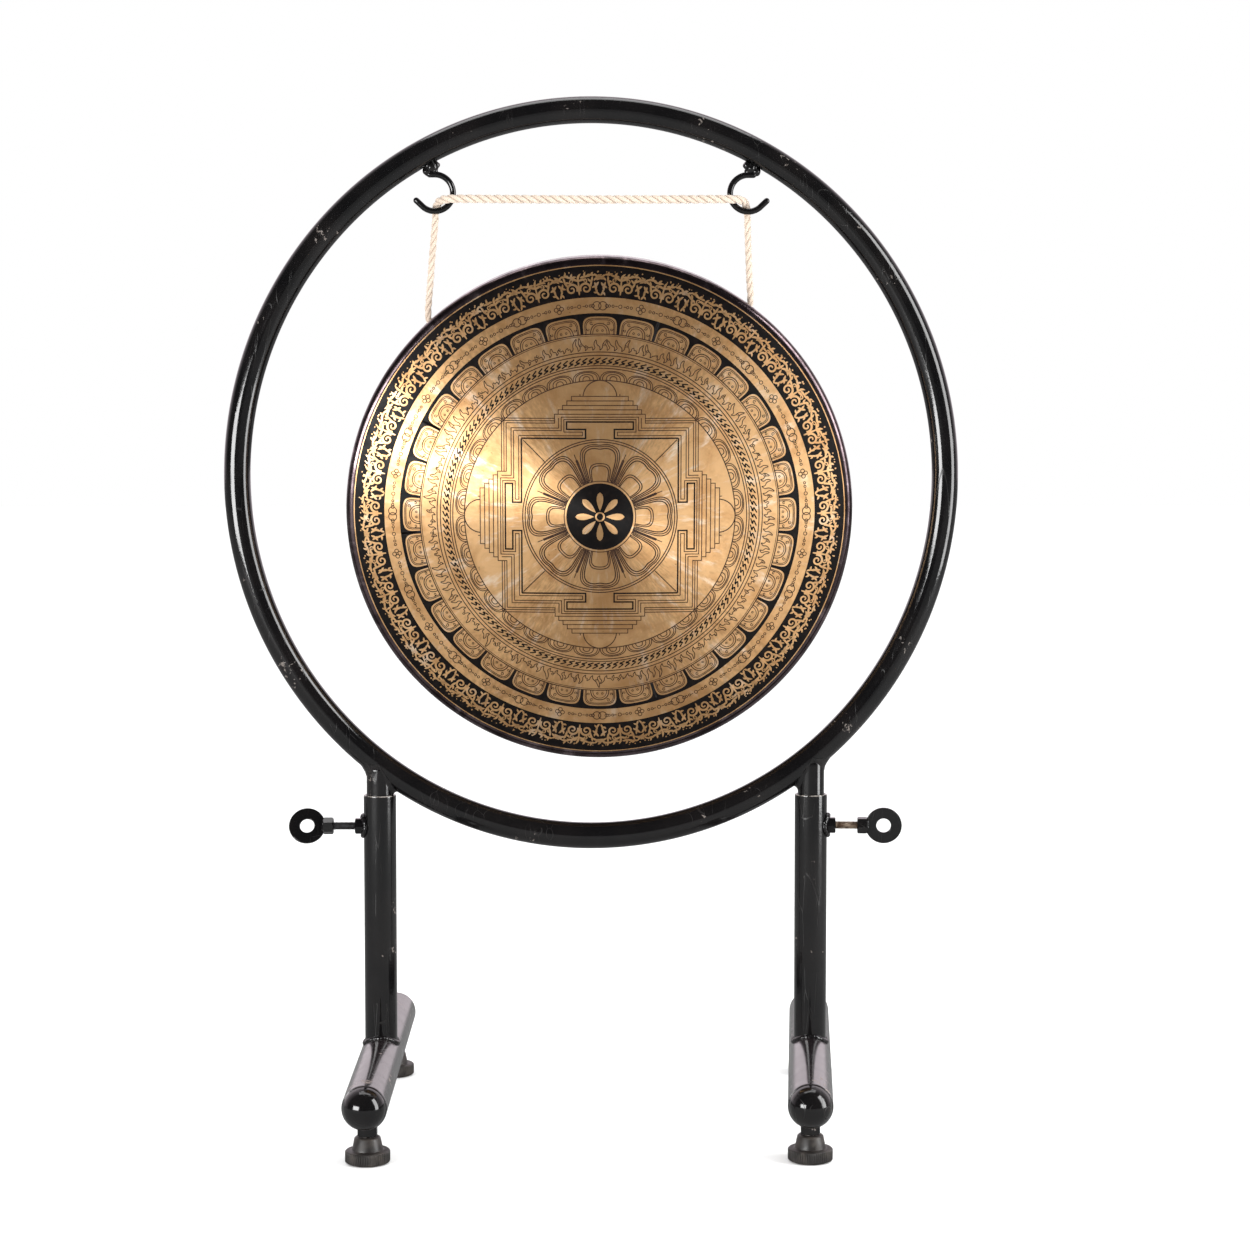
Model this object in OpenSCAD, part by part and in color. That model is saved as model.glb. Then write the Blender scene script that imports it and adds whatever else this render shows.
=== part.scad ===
// Gong hanging by a rope sling in a round tubular stand with two telescopic,
// swivelling legs, clamp screws and screwed levelling feet.
// Millimetres, +Z up, the gong's face looks towards -Y.
// Origin: on the floor, at the centre of the footprint, in the plane of the hoop.

/* [Gong] */
// Outer diameter over the rounded shoulder
gong_d = 502; // [480:2:510]
// Diameter of the crease where the domed face ends
crease_d = 486; // [460:2:488]
// Thickness of the bronze sheet
gong_sheet = 1.5; // [1.2:0.1:2.5]
// How far the face bulges in front of the crease
dome_h = 30; // [15:1:45]
// Depth of the turned-back rim behind the crease
rim_depth = 36; // [30:1:45]
// Distance of the rope holes behind the crease
hole_depth = 18; // [14:1:22]
// Diameter of the two rope holes in the rim
rope_hole_d = 12.5; // [11:0.5:16]
// Angle of the left rope hole from the top
hole_angle_left = 42; // [40:1:44]
// Angle of the right rope hole from the top
hole_angle_right = 36; // [34:1:38]
// Forward lean of the hanging gong, from its centre of gravity
gong_tilt = 7.2; // [7:0.1:8]
// Sideways place of the gong's centre
gong_x = 7.8; // [6:0.1:9]
// Front-to-back place of the crease circle's centre
gong_y = 14.3; // [13:0.1:16]
// Height of the crease circle's centre
gong_z = 600.7; // [599:0.1:602]

/* [Hoop] */
// Half width of the hoop, to the middle of its tube
hoop_half_w = 347.7; // [340:0.1:352]
// Half height of the hoop, to the middle of its tube
hoop_half_h = 356; // [353:0.1:362]
// Height of the hoop's centre above the floor
hoop_z = 637; // [635:1:639]
// Outer diameter of the hoop's tube and of the spigots
hoop_tube_d = 26; // [25:0.5:26]
// Wall of the hoop's tube
hoop_wall = 2; // [1.5:0.1:2.5]
// Wall of the spigots
spigot_wall = 2.3; // [2:0.1:2.5]
// Height of the spigots' lower ends
spigot_low_z = 173; // [163:1:183]

/* [Hooks] */
// Sideways place of each hook's centre
hook_x = 153; // [152:0.5:154]
// Height of each hook's centre
hook_z = 912.5; // [912:0.5:913]
// Mean radius of the hook's curve
hook_r = 17.75; // [17.5:0.05:18]
// Diameter of the hook's round bar
hook_bar_d = 6; // [5:0.5:6]
// Length of the straight tip
hook_tip = 10.5; // [6:0.5:14]

/* [Legs] */
// Distance between the two posts' axes
leg_spacing = 427; // [420:1:430]
// Sideways offset of the pair of legs from the hoop's centre
leg_offset_x = 3.5; // [0:0.5:5]
// Outer diameter of a post
post_d = 32; // [32:0.5:34]
// Bore of a post
post_bore_d = 27; // [26.8:0.1:27.5]
// Height of the posts' upper ends
post_top_z = 322; // [313:1:325]
// How far the right foot is swivelled inwards at the front, in degrees
right_leg_swivel = 4.7; // [0:0.1:10]

/* [Feet] */
// Outer diameter of a foot tube
foot_d = 42; // [40:0.5:44]
// Wall of a foot tube
foot_wall = 2.5; // [2:0.1:3]
// Height of a foot tube's axis
foot_z = 60; // [59:0.5:62]
// Distance from the post to the end of the foot tube
foot_reach = 211; // [195:1:220]
// Diameter of the ball-shaped end caps
ball_d = 40; // [38:0.5:40]
// Distance from the post to each levelling foot
level_reach = 175; // [160:1:180]

/* [Levelling feet] */
// Diameter of the ribbed knob
knob_d = 42; // [40:1:46]
// Height of the knob's rim above the floor
knob_h = 12.2; // [11:0.1:13]
// Height of the top of the knob's collar
collar_top_z = 24.6; // [22:0.1:25]
// Diameter of the collar at its foot
collar_d = 28.5; // [26:0.5:30]
// Diameter of the collar at its top
collar_top_d = 24; // [20:0.1:25]
// Diameter of the threaded stud
stud_d = 12; // [10:0.5:12]
// Height of the stud's upper end
stud_top_z = 53; // [50:1:56]
// Width of the welded nut across its flats
foot_nut_flats = 18; // [17:0.5:19]
// Underside of the welded nut
foot_nut_z = 25.8; // [25.3:0.1:26.5]
// Diameter of the pad under the knob
pad_d = 36; // [30:1:38]

/* [Clamp screws] */
// Height of the clamp screws
clamp_z = 291; // [283:1:298]
// Diameter of the threaded rod
rod_d = 8; // [6:0.5:8]
// Width of the nuts across their flats
clamp_nut_flats = 15; // [13:0.5:16]
// Distance from the post's axis to the outer face of the welded nut
clamp_nut_out = 24.5; // [23:0.5:26]
// Distance from the post's axis to the inner face of the head
head_in = 46; // [40:0.5:48]
// Distance from the post's axis to the outer end of the head
head_out = 56; // [55:0.5:57]
// Distance from the post's axis to the centre of the eye
eye_out = 72; // [71:0.5:73]
// Outer diameter of the eye
eye_d = 36; // [34:0.5:36]
// Diameter of the hole in the eye
eye_hole_d = 14.3; // [12:0.1:16]
// Thickness of the eye
eye_t = 3; // [2:0.5:4]
// Roll of the left eye about its screw, in degrees
left_eye_roll = 25; // [0:1:90]
// Roll of the right eye about its screw, in degrees
right_eye_roll = 6; // [0:1:90]

/* [Rope] */
// Diameter of the twisted rope
rope_d = 8.4; // [7:0.1:8.4]
// Diameter of the knots inside the rim
knot_d = 18; // [16:0.5:18]

/* [Hidden] */

$fn = 64;
LEFT = -1;
RIGHT = 1;
FRONT = -1;
REAR = 1;

// Clearances
touch_gap = 0.02;   // between pieces welded or pressed together
run_gap = 0.05;     // between a shaft and its bore
loose_gap = 0.3;    // round a part that moves freely
cut_extra = 1;      // how far a cutting tool runs past a face

// Gong, in its own frame: axis along Z, the face towards +Z, the crease at z = 0
gong_r = gong_d / 2;
crease_r = crease_d / 2;
shoulder_r = gong_r - crease_r;
dome_r = (crease_r * crease_r + dome_h * dome_h) / (2 * dome_h);
hole_drill_l = 40;

// Hoop: an oval of four arcs whose joints lie at 45 degrees
tube_r = hoop_tube_d / 2;
arc_step = (hoop_half_h - hoop_half_w) / (sqrt(2) - 1);
arc_shift = arc_step / sqrt(2);
side_arc_r = hoop_half_w + arc_shift;
end_arc_r = hoop_half_h - arc_shift;

// Legs
post_r = post_d / 2;
post_bore_r = post_bore_d / 2;
foot_r = foot_d / 2;
foot_bore_r = foot_r - foot_wall;
spigot_bore_r = tube_r - spigot_wall;
glide_flange_h = 8;
glide_plug_h = 24;
ball_skirt_l = 14;
ball_skirt_lap = 0.5;

// Round-topped weld about the foot of a post
post_weld_low = foot_z + 8;
post_weld_top = foot_z + foot_r + 5;
post_weld_r = post_r + 6;
post_weld_top_r = post_r + 0.8;

// The spigots' blanks run up into the hoop, and its lower arc cuts them off
spigot_blank_top = hoop_z - hoop_half_h + 90;

// Cone of weld between a spigot and the hoop
spigot_weld_z = 341;
spigot_weld_back = 9;
spigot_weld_h = 12;
spigot_weld_low_r = tube_r + 1.5;
spigot_weld_top_r = tube_r + 7;
spigot_weld_shift = 3;
spigot_weld_lean = 38;   // the slope of the hoop above the spigots
post_clear_r = post_r + 10;

// Hooks and the lumps of weld above them: [sideways, up, radius] from the hook's centre
hook_root_l = 4;
hook_weld_lumps = [[-2.5, 25, 6.5], [-8, 21.5, 4.6]];

// Clamp screws
rod_r = rod_d / 2;
rod_tip = tube_r + 0.1;
rod_end = eye_out - eye_d / 2 - 0.2;
clamp_nut_r = clamp_nut_flats / sqrt(3);
clamp_weld_r = clamp_nut_r + 2.5;
clamp_weld_out = post_r + 3.5;

// Levelling feet
stud_r = stud_d / 2;
stud_low_z = 6;
knob_low_z = 1.2;
collar_lap = 0.5;
pad_h = 3;
pad_recess_z = pad_h + 0.2;
foot_nut_r = foot_nut_flats / sqrt(3);
foot_nut_blank_h = 17;   // the foot tube cuts its upper end

// The rope's route, from the knot inside the rim on the left, up behind the left hook's
// cradle, over it to the front, across to the right hook and down again
left_drop_route = [
    [-153.6, 8.5, 778.3], [-156, 8.6, 782], [-159.5, 8.8, 788], [-160.5, 8.7, 797],
    [-159.8, 8.5, 808], [-158, 8.2, 828], [-156, 8, 853], [-154, 7.8, 875],
    [-153, 7.8, 887], [-152.7, 7.8, 893.8]];
span_route = [
    [-152.6, 7.8, 896], [-152.5, 7.7, 897.4], [-151.6, 6.4, 900.3], [-149.2, 2.2, 903.9],
    [-145.5, -2.8, 905.4], [-141, -6.4, 905.9], [-135, -7.8, 906], [-125, -8, 906],
    [-90, -8, 905.8], [-45, -8, 905.6], [0, -8, 905.5], [45, -8, 905.6], [90, -8, 905.8],
    [125, -8, 906], [135, -7.8, 906], [141, -6.4, 905.9], [145.5, -2.8, 905.4],
    [149.2, 2.2, 903.9], [151.6, 6.4, 900.3], [152.5, 7.7, 897.4], [152.6, 7.8, 896]];
right_drop_route = [
    [152.7, 7.8, 893.8], [152.8, 7.8, 887], [153.2, 7.7, 875], [154, 7.4, 853],
    [155, 7, 828], [155.8, 6.8, 816], [155.9, 6.7, 810], [154.8, 6.7, 803.5],
    [151.8, 6.8, 797.3], [149.9, 6.8, 793.4]];
rope_sides = 10;

function post_x(side) = leg_offset_x + side * leg_spacing / 2;
function leg_turn(side) = side == RIGHT ? -right_leg_swivel : 0;
function eye_roll(side) = side == RIGHT ? right_eye_roll : left_eye_roll;

// ---- helpers ----

// A straight tube or rod standing on z = low
module rod(r, low, high) {
    translate([0, 0, low])
        cylinder(r = r, h = high - low);
}

// The frame of one leg: its post's axis is Z and its foot tube runs along Y
module on_leg(side) {
    translate([post_x(side), 0, 0])
        rotate([0, 0, leg_turn(side)])
            children();
}

// The frame of one clamp screw, inside on_leg: Z runs outwards from the post's axis
module on_clamp(side) {
    translate([0, 0, clamp_z])
        rotate([0, side * 90, 0])
            children();
}

// The frame of one levelling foot, inside on_leg
module on_level(end) {
    translate([0, end * level_reach, 0])
        children();
}

// A solid bar of radius r along the hoop's oval
module oval_bar(r) {
    translate([0, 0, hoop_z])
        rotate([90, 0, 0])
            for (quarter = [0 : 3]) {
                is_side = quarter % 2 == 0;
                arc_r = is_side ? side_arc_r : end_arc_r;
                shift = is_side ? -arc_shift : arc_shift;
                rotate([0, 0, quarter * 90])
                    translate([shift, 0, 0])
                        rotate_extrude(angle = 90, start = -45, $fn = 240)
                            translate([arc_r, 0])
                                circle(r = r, $fn = 48);
            }
}

module foot_bar(r, half_length) {
    translate([0, 0, foot_z])
        rotate([90, 0, 0])
            cylinder(r = r, h = 2 * half_length, center = true);
}

// One hook's bar, as seen on the left: it opens outwards and upwards
module hook_bar(r) {
    translate([0, 0, hook_z])
        rotate([90, 0, 0]) {
            rotate_extrude(angle = 225, start = -135, $fn = 96)
                translate([hook_r, 0])
                    circle(r = r, $fn = 32);
            rotate([0, 0, -135])
                translate([hook_r, 0, 0])
                    rotate([90, 0, 0])
                        cylinder(r = r, h = hook_tip, $fn = 32);
            translate([0, hook_r, 0])
                rotate([0, -90, 0])
                    cylinder(r = r, h = hook_root_l, $fn = 32);
        }
}

module on_hook(side) {
    translate([side * hook_x, 0, 0])
        mirror([side == RIGHT ? 1 : 0, 0, 0])
            children();
}

function unit(v) = v / norm(v);
function along(route, i) = unit(route[min(i + 1, len(route) - 1)] - route[max(i - 1, 0)]);
function ring(route, i, r) =
    let (t = along(route, i), u = unit(cross(t, [0, 1, 0])), v = cross(t, u))
    [for (k = [0 : rope_sides - 1])
        route[i] + r * (cos(k * 360 / rope_sides) * u + sin(k * 360 / rope_sides) * v)];

// A tube of radius r that follows a route
module rope_tube(route, r) {
    last = len(route) - 1;
    points = [for (i = [0 : last]) each ring(route, i, r)];
    walls = [for (i = [0 : last - 1], k = [0 : rope_sides - 1])
        [i * rope_sides + k, (i + 1) * rope_sides + k,
         (i + 1) * rope_sides + (k + 1) % rope_sides, i * rope_sides + (k + 1) % rope_sides]];
    low_end = [for (k = [0 : rope_sides - 1]) k];
    high_end = [for (k = [rope_sides - 1 : -1 : 0]) last * rope_sides + k];
    polyhedron(points = points, faces = concat(walls, [low_end, high_end]));
}

// ---- hoop frame ----

module hoop() {
    color("#15151a")
        difference() {
            oval_bar(tube_r);
            oval_bar(tube_r - hoop_wall);
        }
}

// The space inside the hoop's lower arc, measured from the middle of its tube
module above_lower_arc() {
    translate([0, 0, hoop_z - arc_shift])
        rotate([90, 0, 0])
            cylinder(r = end_arc_r, h = post_d * 2, center = true, $fn = 240);
}

module spigot(side) {
    color("#15151a")
        difference() {
            translate([post_x(side), 0, 0])
                difference() {
                    rod(tube_r, spigot_low_z, spigot_blank_top);
                    rod(spigot_bore_r, spigot_low_z - cut_extra, spigot_blank_top + cut_extra);
                }
            oval_bar(tube_r + touch_gap);
            above_lower_arc();
        }
}

// Weld that fills the corner between a spigot and the underside of the hoop
module spigot_weld(side) {
    color("#1b1b20")
        difference() {
            translate([post_x(side), 0, spigot_weld_z])
                rotate([0, side * -spigot_weld_lean, 0])
                    translate([-side * spigot_weld_shift, 0, -spigot_weld_back])
                        cylinder(r1 = spigot_weld_low_r, r2 = spigot_weld_top_r, h = spigot_weld_h);
            translate([post_x(side), 0, 0])
                rod(tube_r + touch_gap, spigot_low_z, hoop_z);
            oval_bar(tube_r + touch_gap);
            above_lower_arc();
            translate([post_x(side), 0, 0])
                rod(post_clear_r, spigot_low_z, post_top_z + cut_extra);
        }
}

module hook(side) {
    color("#15151a")
        on_hook(side)
            hook_bar(hook_bar_d / 2);
}

// Lumps of weld between the hooks and the inside of the hoop
module hook_welds() {
    color("#26262b")
        for (side = [LEFT, RIGHT])
            difference() {
                on_hook(side)
                    translate([0, 0, hook_z])
                        for (lump = hook_weld_lumps)
                            translate([lump[0], 0, lump[1]])
                                sphere(r = lump[2]);
                oval_bar(tube_r + touch_gap);
                on_hook(side)
                    hook_bar(hook_bar_d / 2 + touch_gap);
            }
}

// ---- legs ----

// Nylon plug that turns in the spigot's end and slides in the post
module glide(side) {
    color("#e8e6dc")
        translate([post_x(side), 0, 0]) {
            rod(post_bore_r - run_gap, spigot_low_z - glide_flange_h - touch_gap, spigot_low_z - touch_gap);
            rod(spigot_bore_r - run_gap, spigot_low_z - touch_gap - 1, spigot_low_z + glide_plug_h);
        }
}

module post(side) {
    color("#121216")
        on_leg(side)
            difference() {
                rod(post_r, foot_z, post_top_z);
                rod(post_bore_r, foot_z - cut_extra, post_top_z + cut_extra);
                foot_bar(foot_r + touch_gap, foot_reach);
                on_clamp(side)
                    rod(rod_r + run_gap, tube_r, post_r + cut_extra);
            }
}

// Saddle-shaped weld round the foot of the post
module post_weld(side) {
    color("#1b1b20")
        on_leg(side)
            difference() {
                translate([0, 0, post_weld_low])
                    cylinder(r1 = post_weld_r, r2 = post_weld_top_r, h = post_weld_top - post_weld_low);
                rod(post_r + touch_gap, foot_z, post_top_z);
                foot_bar(foot_r + touch_gap, foot_reach);
            }
}

module foot_tube(side) {
    color("#17151a")
        on_leg(side)
            difference() {
                foot_bar(foot_r, foot_reach);
                foot_bar(foot_bore_r, foot_reach + cut_extra);
                for (end = [FRONT, REAR])
                    on_level(end)
                        rod(stud_r + loose_gap, 0, foot_z);
            }
}

// Hollow ball-shaped caps, each with a skirt inside the tube's end
module foot_balls(side) {
    skirt_r = foot_bore_r - touch_gap;
    color("#0d0d10")
        on_leg(side)
            for (end = [FRONT, REAR])
                translate([0, end * (foot_reach + touch_gap), foot_z])
                    rotate([end * -90, 0, 0])
                        difference() {
                            union() {
                                intersection() {
                                    sphere(r = ball_d / 2);
                                    rod(ball_d, 0, ball_d);
                                }
                                rod(skirt_r, -ball_skirt_l, ball_skirt_lap);
                            }
                            sphere(r = skirt_r - foot_wall);
                            rod(skirt_r - foot_wall, -ball_skirt_l - cut_extra, 0);
                        }
}

// Nuts welded under the foot tube for the levelling feet
module foot_nuts(side) {
    color("#17171b")
        on_leg(side)
            for (end = [FRONT, REAR])
                difference() {
                    on_level(end)
                        translate([0, 0, foot_nut_z])
                            cylinder(r = foot_nut_r, h = foot_nut_blank_h, $fn = 6);
                    on_level(end)
                        rod(stud_r + run_gap, foot_nut_z - cut_extra, foot_z);
                    foot_bar(foot_r + touch_gap, foot_reach);
                }
}

// ---- clamp screws ----

module clamp_nut(side) {
    color("#17171b")
        on_leg(side)
            difference() {
                on_clamp(side)
                    difference() {
                        rotate([0, 0, 30])
                            translate([0, 0, tube_r])
                                cylinder(r = clamp_nut_r, h = clamp_nut_out - tube_r, $fn = 6);
                        rod(rod_r + run_gap, 0, clamp_nut_out + cut_extra);
                    }
                rod(post_r + touch_gap, foot_z, post_top_z);
            }
}

module clamp_weld(side) {
    color("#1b1b20")
        on_leg(side)
            difference() {
                on_clamp(side)
                    difference() {
                        rod(clamp_weld_r, tube_r, clamp_weld_out);
                        rotate([0, 0, 30])
                            cylinder(r = clamp_nut_r + touch_gap, h = head_in, $fn = 6);
                    }
                rod(post_r + touch_gap, foot_z, post_top_z);
            }
}

module clamp_rod(side) {
    color(side == RIGHT ? "#8a7460" : "#1a1a1d")
        on_leg(side)
            on_clamp(side)
                rod(rod_r, rod_tip, rod_end);
}

module clamp_eye_disc(side, extra) {
    rotate([0, 0, eye_roll(side)])
        translate([0, 0, eye_out])
            rotate([90, 0, 0])
                cylinder(r = eye_d / 2 + extra, h = eye_t + 2 * extra, center = true);
}

module clamp_head(side) {
    color("#17171b")
        on_leg(side)
            on_clamp(side)
                difference() {
                    rotate([0, 0, eye_roll(side)])
                        translate([0, 0, head_in])
                            cylinder(r = clamp_nut_r, h = head_out - head_in, $fn = 6);
                    rod(rod_r + touch_gap, head_in - cut_extra, rod_end + touch_gap);
                    clamp_eye_disc(side, touch_gap);
                }
}

module clamp_eye(side) {
    color("#101013")
        on_leg(side)
            on_clamp(side)
                difference() {
                    clamp_eye_disc(side, 0);
                    rotate([0, 0, eye_roll(side)])
                        translate([0, 0, eye_out])
                            rotate([90, 0, 0])
                                cylinder(r = eye_hole_d / 2, h = eye_t + 2 * cut_extra, center = true);
                }
}

// ---- levelling feet ----

module stud(side, end) {
    color("#6b6b70")
        on_leg(side)
            on_level(end)
                rod(stud_r, stud_low_z, stud_top_z);
}

module knob(side, end) {
    color("#1c1b19")
        on_leg(side)
            on_level(end)
                difference() {
                    union() {
                        rod(knob_d / 2, knob_low_z, knob_h);
                        translate([0, 0, knob_h - collar_lap])
                            cylinder(r1 = collar_d / 2, r2 = collar_top_d / 2,
                                     h = collar_top_z - knob_h + collar_lap);
                    }
                    rod(stud_r + touch_gap, stud_low_z - touch_gap, collar_top_z + cut_extra);
                    rod(pad_d / 2 + loose_gap, 0, pad_recess_z);
                }
}

module pad(side, end) {
    color("#2a2320")
        on_leg(side)
            on_level(end)
                rod(pad_d / 2, 0, pad_h);
}

// ---- gong and rope ----

// Half section of the filled gong, set in from its outer surface
module gong_section(inset, low) {
    intersection() {
        translate([0, dome_h - dome_r])
            circle(r = dome_r - inset, $fn = 1440);
        translate([0, -shoulder_r])
            square([crease_r, dome_h + shoulder_r]);
    }
    translate([crease_r, -shoulder_r])
        circle(r = shoulder_r - inset, $fn = 64);
    translate([0, low])
        square([gong_r - inset, -shoulder_r - low]);
}

module gong() {
    color("#a5834a")
        translate([gong_x, gong_y, gong_z])
            rotate([90 + gong_tilt, 0, 0])
                difference() {
                    rotate_extrude($fn = 240)
                        difference() {
                            gong_section(0, -rim_depth);
                            gong_section(gong_sheet, -rim_depth - cut_extra);
                        }
                    for (turn = [hole_angle_left, -hole_angle_right])
                        rotate([0, 0, turn])
                            translate([0, gong_r - hole_drill_l / 2, -hole_depth])
                                rotate([-90, 0, 0])
                                    cylinder(r = rope_hole_d / 2, h = hole_drill_l, $fn = 48);
                }
}

module rope_part(route) {
    color("#e6dccb")
        rope_tube(route, rope_d / 2);
}

// Knots that hold the rope's ends inside the rim
module rope_knots() {
    color("#e6dccb")
        for (rope_end = [left_drop_route[0], right_drop_route[len(right_drop_route) - 1]])
            translate(rope_end)
                sphere(r = knot_d / 2, $fn = 40);
}

// ---- parts ----

hoop();
spigot(LEFT);  // left_spigot
spigot(RIGHT);  // right_spigot
spigot_weld(LEFT);  // left_spigot_weld
spigot_weld(RIGHT);  // right_spigot_weld
hook(LEFT);  // left_hook
hook(RIGHT);  // right_hook
hook_welds();
glide(LEFT);  // left_glide
glide(RIGHT);  // right_glide
post(LEFT);  // left_post
post(RIGHT);  // right_post
post_weld(LEFT);  // left_post_weld
post_weld(RIGHT);  // right_post_weld
foot_tube(LEFT);  // left_foot_tube
foot_tube(RIGHT);  // right_foot_tube
foot_balls(LEFT);  // left_foot_balls
foot_balls(RIGHT);  // right_foot_balls
foot_nuts(LEFT);  // left_foot_nuts
foot_nuts(RIGHT);  // right_foot_nuts
clamp_nut(LEFT);  // left_clamp_nut
clamp_nut(RIGHT);  // right_clamp_nut
clamp_weld(LEFT);  // left_clamp_weld
clamp_weld(RIGHT);  // right_clamp_weld
clamp_rod(LEFT);  // left_clamp_rod
clamp_rod(RIGHT);  // right_clamp_rod
clamp_head(LEFT);  // left_clamp_head
clamp_head(RIGHT);  // right_clamp_head
clamp_eye(LEFT);  // left_clamp_eye
clamp_eye(RIGHT);  // right_clamp_eye
stud(LEFT, FRONT);  // front_left_stud
stud(LEFT, REAR);  // rear_left_stud
stud(RIGHT, FRONT);  // front_right_stud
stud(RIGHT, REAR);  // rear_right_stud
knob(LEFT, FRONT);  // front_left_knob
knob(LEFT, REAR);  // rear_left_knob
knob(RIGHT, FRONT);  // front_right_knob
knob(RIGHT, REAR);  // rear_right_knob
pad(LEFT, FRONT);  // front_left_pad
pad(LEFT, REAR);  // rear_left_pad
pad(RIGHT, FRONT);  // front_right_pad
pad(RIGHT, REAR);  // rear_right_pad
gong();
rope_part(span_route);  // rope_span
rope_part(left_drop_route);  // left_rope_drop
rope_part(right_drop_route);  // right_rope_drop
rope_knots();
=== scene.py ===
"""Looks of a hanging gong in a round tubular stand: metal, paint, rope and engraved ornament.

Shapes are built in millimetres, in the frame of the CAD model (+Z up, the face looks towards -Y), and
add_piece() turns them into metres.
"""

import math
import random

import bmesh
import bpy
import numpy as np
from mathutils import Matrix, Vector, noise


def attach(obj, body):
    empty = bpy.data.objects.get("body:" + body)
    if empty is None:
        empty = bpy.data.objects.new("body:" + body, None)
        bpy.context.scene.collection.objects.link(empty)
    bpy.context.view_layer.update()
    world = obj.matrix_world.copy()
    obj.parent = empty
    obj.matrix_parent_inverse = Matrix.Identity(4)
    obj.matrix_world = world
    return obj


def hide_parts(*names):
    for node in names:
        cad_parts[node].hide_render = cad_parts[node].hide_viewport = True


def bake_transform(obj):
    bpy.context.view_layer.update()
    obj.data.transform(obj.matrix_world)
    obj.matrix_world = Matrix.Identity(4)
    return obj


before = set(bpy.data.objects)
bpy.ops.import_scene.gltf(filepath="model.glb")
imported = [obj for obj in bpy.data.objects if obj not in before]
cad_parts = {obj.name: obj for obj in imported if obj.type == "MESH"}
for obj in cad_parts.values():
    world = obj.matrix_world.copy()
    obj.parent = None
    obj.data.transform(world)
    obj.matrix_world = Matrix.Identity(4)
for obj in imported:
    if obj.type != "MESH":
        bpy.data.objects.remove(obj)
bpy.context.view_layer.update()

MM = 0.001
TURN = 2 * math.pi
noise.seed_set(1)  # noise_vector() differs from run to run without this
LEFT, RIGHT = -1, 1
FRONT, REAR = -1, 1
SIDES = ((LEFT, "left"), (RIGHT, "right"))
ENDS = ((FRONT, "front"), (REAR, "rear"))

# ---- sizes, in millimetres, as in the CAD model ----

HOOP_HALF_W, HOOP_HALF_H, HOOP_Z = 347.7, 356.0, 637.0
TUBE_R = 13.0
ARC_SHIFT = (HOOP_HALF_H - HOOP_HALF_W) / (math.sqrt(2) - 1) / math.sqrt(2)
SIDE_ARC_R = HOOP_HALF_W + ARC_SHIFT
END_ARC_R = HOOP_HALF_H - ARC_SHIFT

HOOK_X, HOOK_Z, HOOK_R, HOOK_BAR_R, HOOK_TIP = 153.0, 912.5, 17.75, 3.0, 10.5

POST_X = {LEFT: -210.0, RIGHT: 217.0}
LEG_TURN = {LEFT: 0.0, RIGHT: -4.7}
POST_R, POST_BORE_R, POST_TOP_Z = 16.0, 13.5, 322.0
SPIGOT_LOW_Z, SPIGOT_BORE_R = 173.0, 10.7
FOOT_R, FOOT_BORE_R, FOOT_Z, FOOT_REACH, BALL_R = 21.0, 18.5, 60.0, 211.0, 20.0
LEVEL_REACH = 175.0

KNOB_R, KNOB_LOW_Z, KNOB_TOP_Z = 21.0, 1.2, 12.2
COLLAR_R, COLLAR_TOP_R, COLLAR_TOP_Z = 14.25, 12.0, 24.6
STUD_R, STUD_LOW_Z, STUD_TOP_Z, STUD_PITCH = 6.0, 6.0, 53.0, 1.75
FOOT_NUT_FLATS, FOOT_NUT_LOW_Z, FOOT_NUT_TOP_Z = 18.0, 25.8, 41.5
PAD_R, PAD_H = 18.0, 3.0

CLAMP_Z, ROD_R, ROD_PITCH = 291.0, 4.0, 1.25
CLAMP_FLATS, CLAMP_NUT_OUT = 15.0, 24.5
HEAD_IN, HEAD_OUT, EYE_OUT = 46.0, 56.0, 72.0
EYE_R, EYE_HOLE_R, EYE_T = 18.0, 7.15, 3.0
EYE_ROLL = {LEFT: 25.0, RIGHT: 6.0}

GONG_AT, GONG_TILT = (7.8, 14.3, 600.7), 7.2
GONG_R, CREASE_R, DOME_H, SHEET, RIM_DEPTH = 251.0, 243.0, 30.0, 1.5, 36.0
SHOULDER_R = GONG_R - CREASE_R
DOME_R = (CREASE_R ** 2 + DOME_H ** 2) / (2 * DOME_H)
HOLE_ANGLES, HOLE_DEPTH, HOLE_R = (42.0, -36.0), 18.0, 6.25

ROPE_D, STRAND_LAY = 8.4, 27.0
LEFT_DROP = [
    (-153.6, 8.5, 778.3), (-156, 8.6, 782), (-159.5, 8.8, 788), (-160.5, 8.7, 797), (-159.8, 8.5, 808),
    (-158, 8.2, 828), (-156, 8, 853), (-154, 7.8, 875), (-153, 7.8, 887), (-152.7, 7.8, 893.8)]
SPAN = [
    (-152.5, 7.7, 897.4), (-151.6, 6.4, 900.3), (-149.2, 2.2, 903.9), (-145.5, -2.8, 905.4),
    (-141, -6.4, 905.9), (-135, -7.8, 906), (-125, -8, 906), (-90, -8, 905.8), (-45, -8, 905.6), (0, -8, 905.5)]
SPAN += [(-x, y, z) for x, y, z in SPAN[-2::-1]]
RIGHT_DROP = [
    (152.7, 7.8, 893.8), (152.8, 7.8, 887), (153.2, 7.7, 875), (154, 7.4, 853), (155, 7, 828),
    (155.8, 6.8, 816), (155.9, 6.7, 810), (154.8, 6.7, 803.5), (151.8, 6.8, 797.3), (149.9, 6.8, 793.4)]


# ---- camera ----

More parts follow.
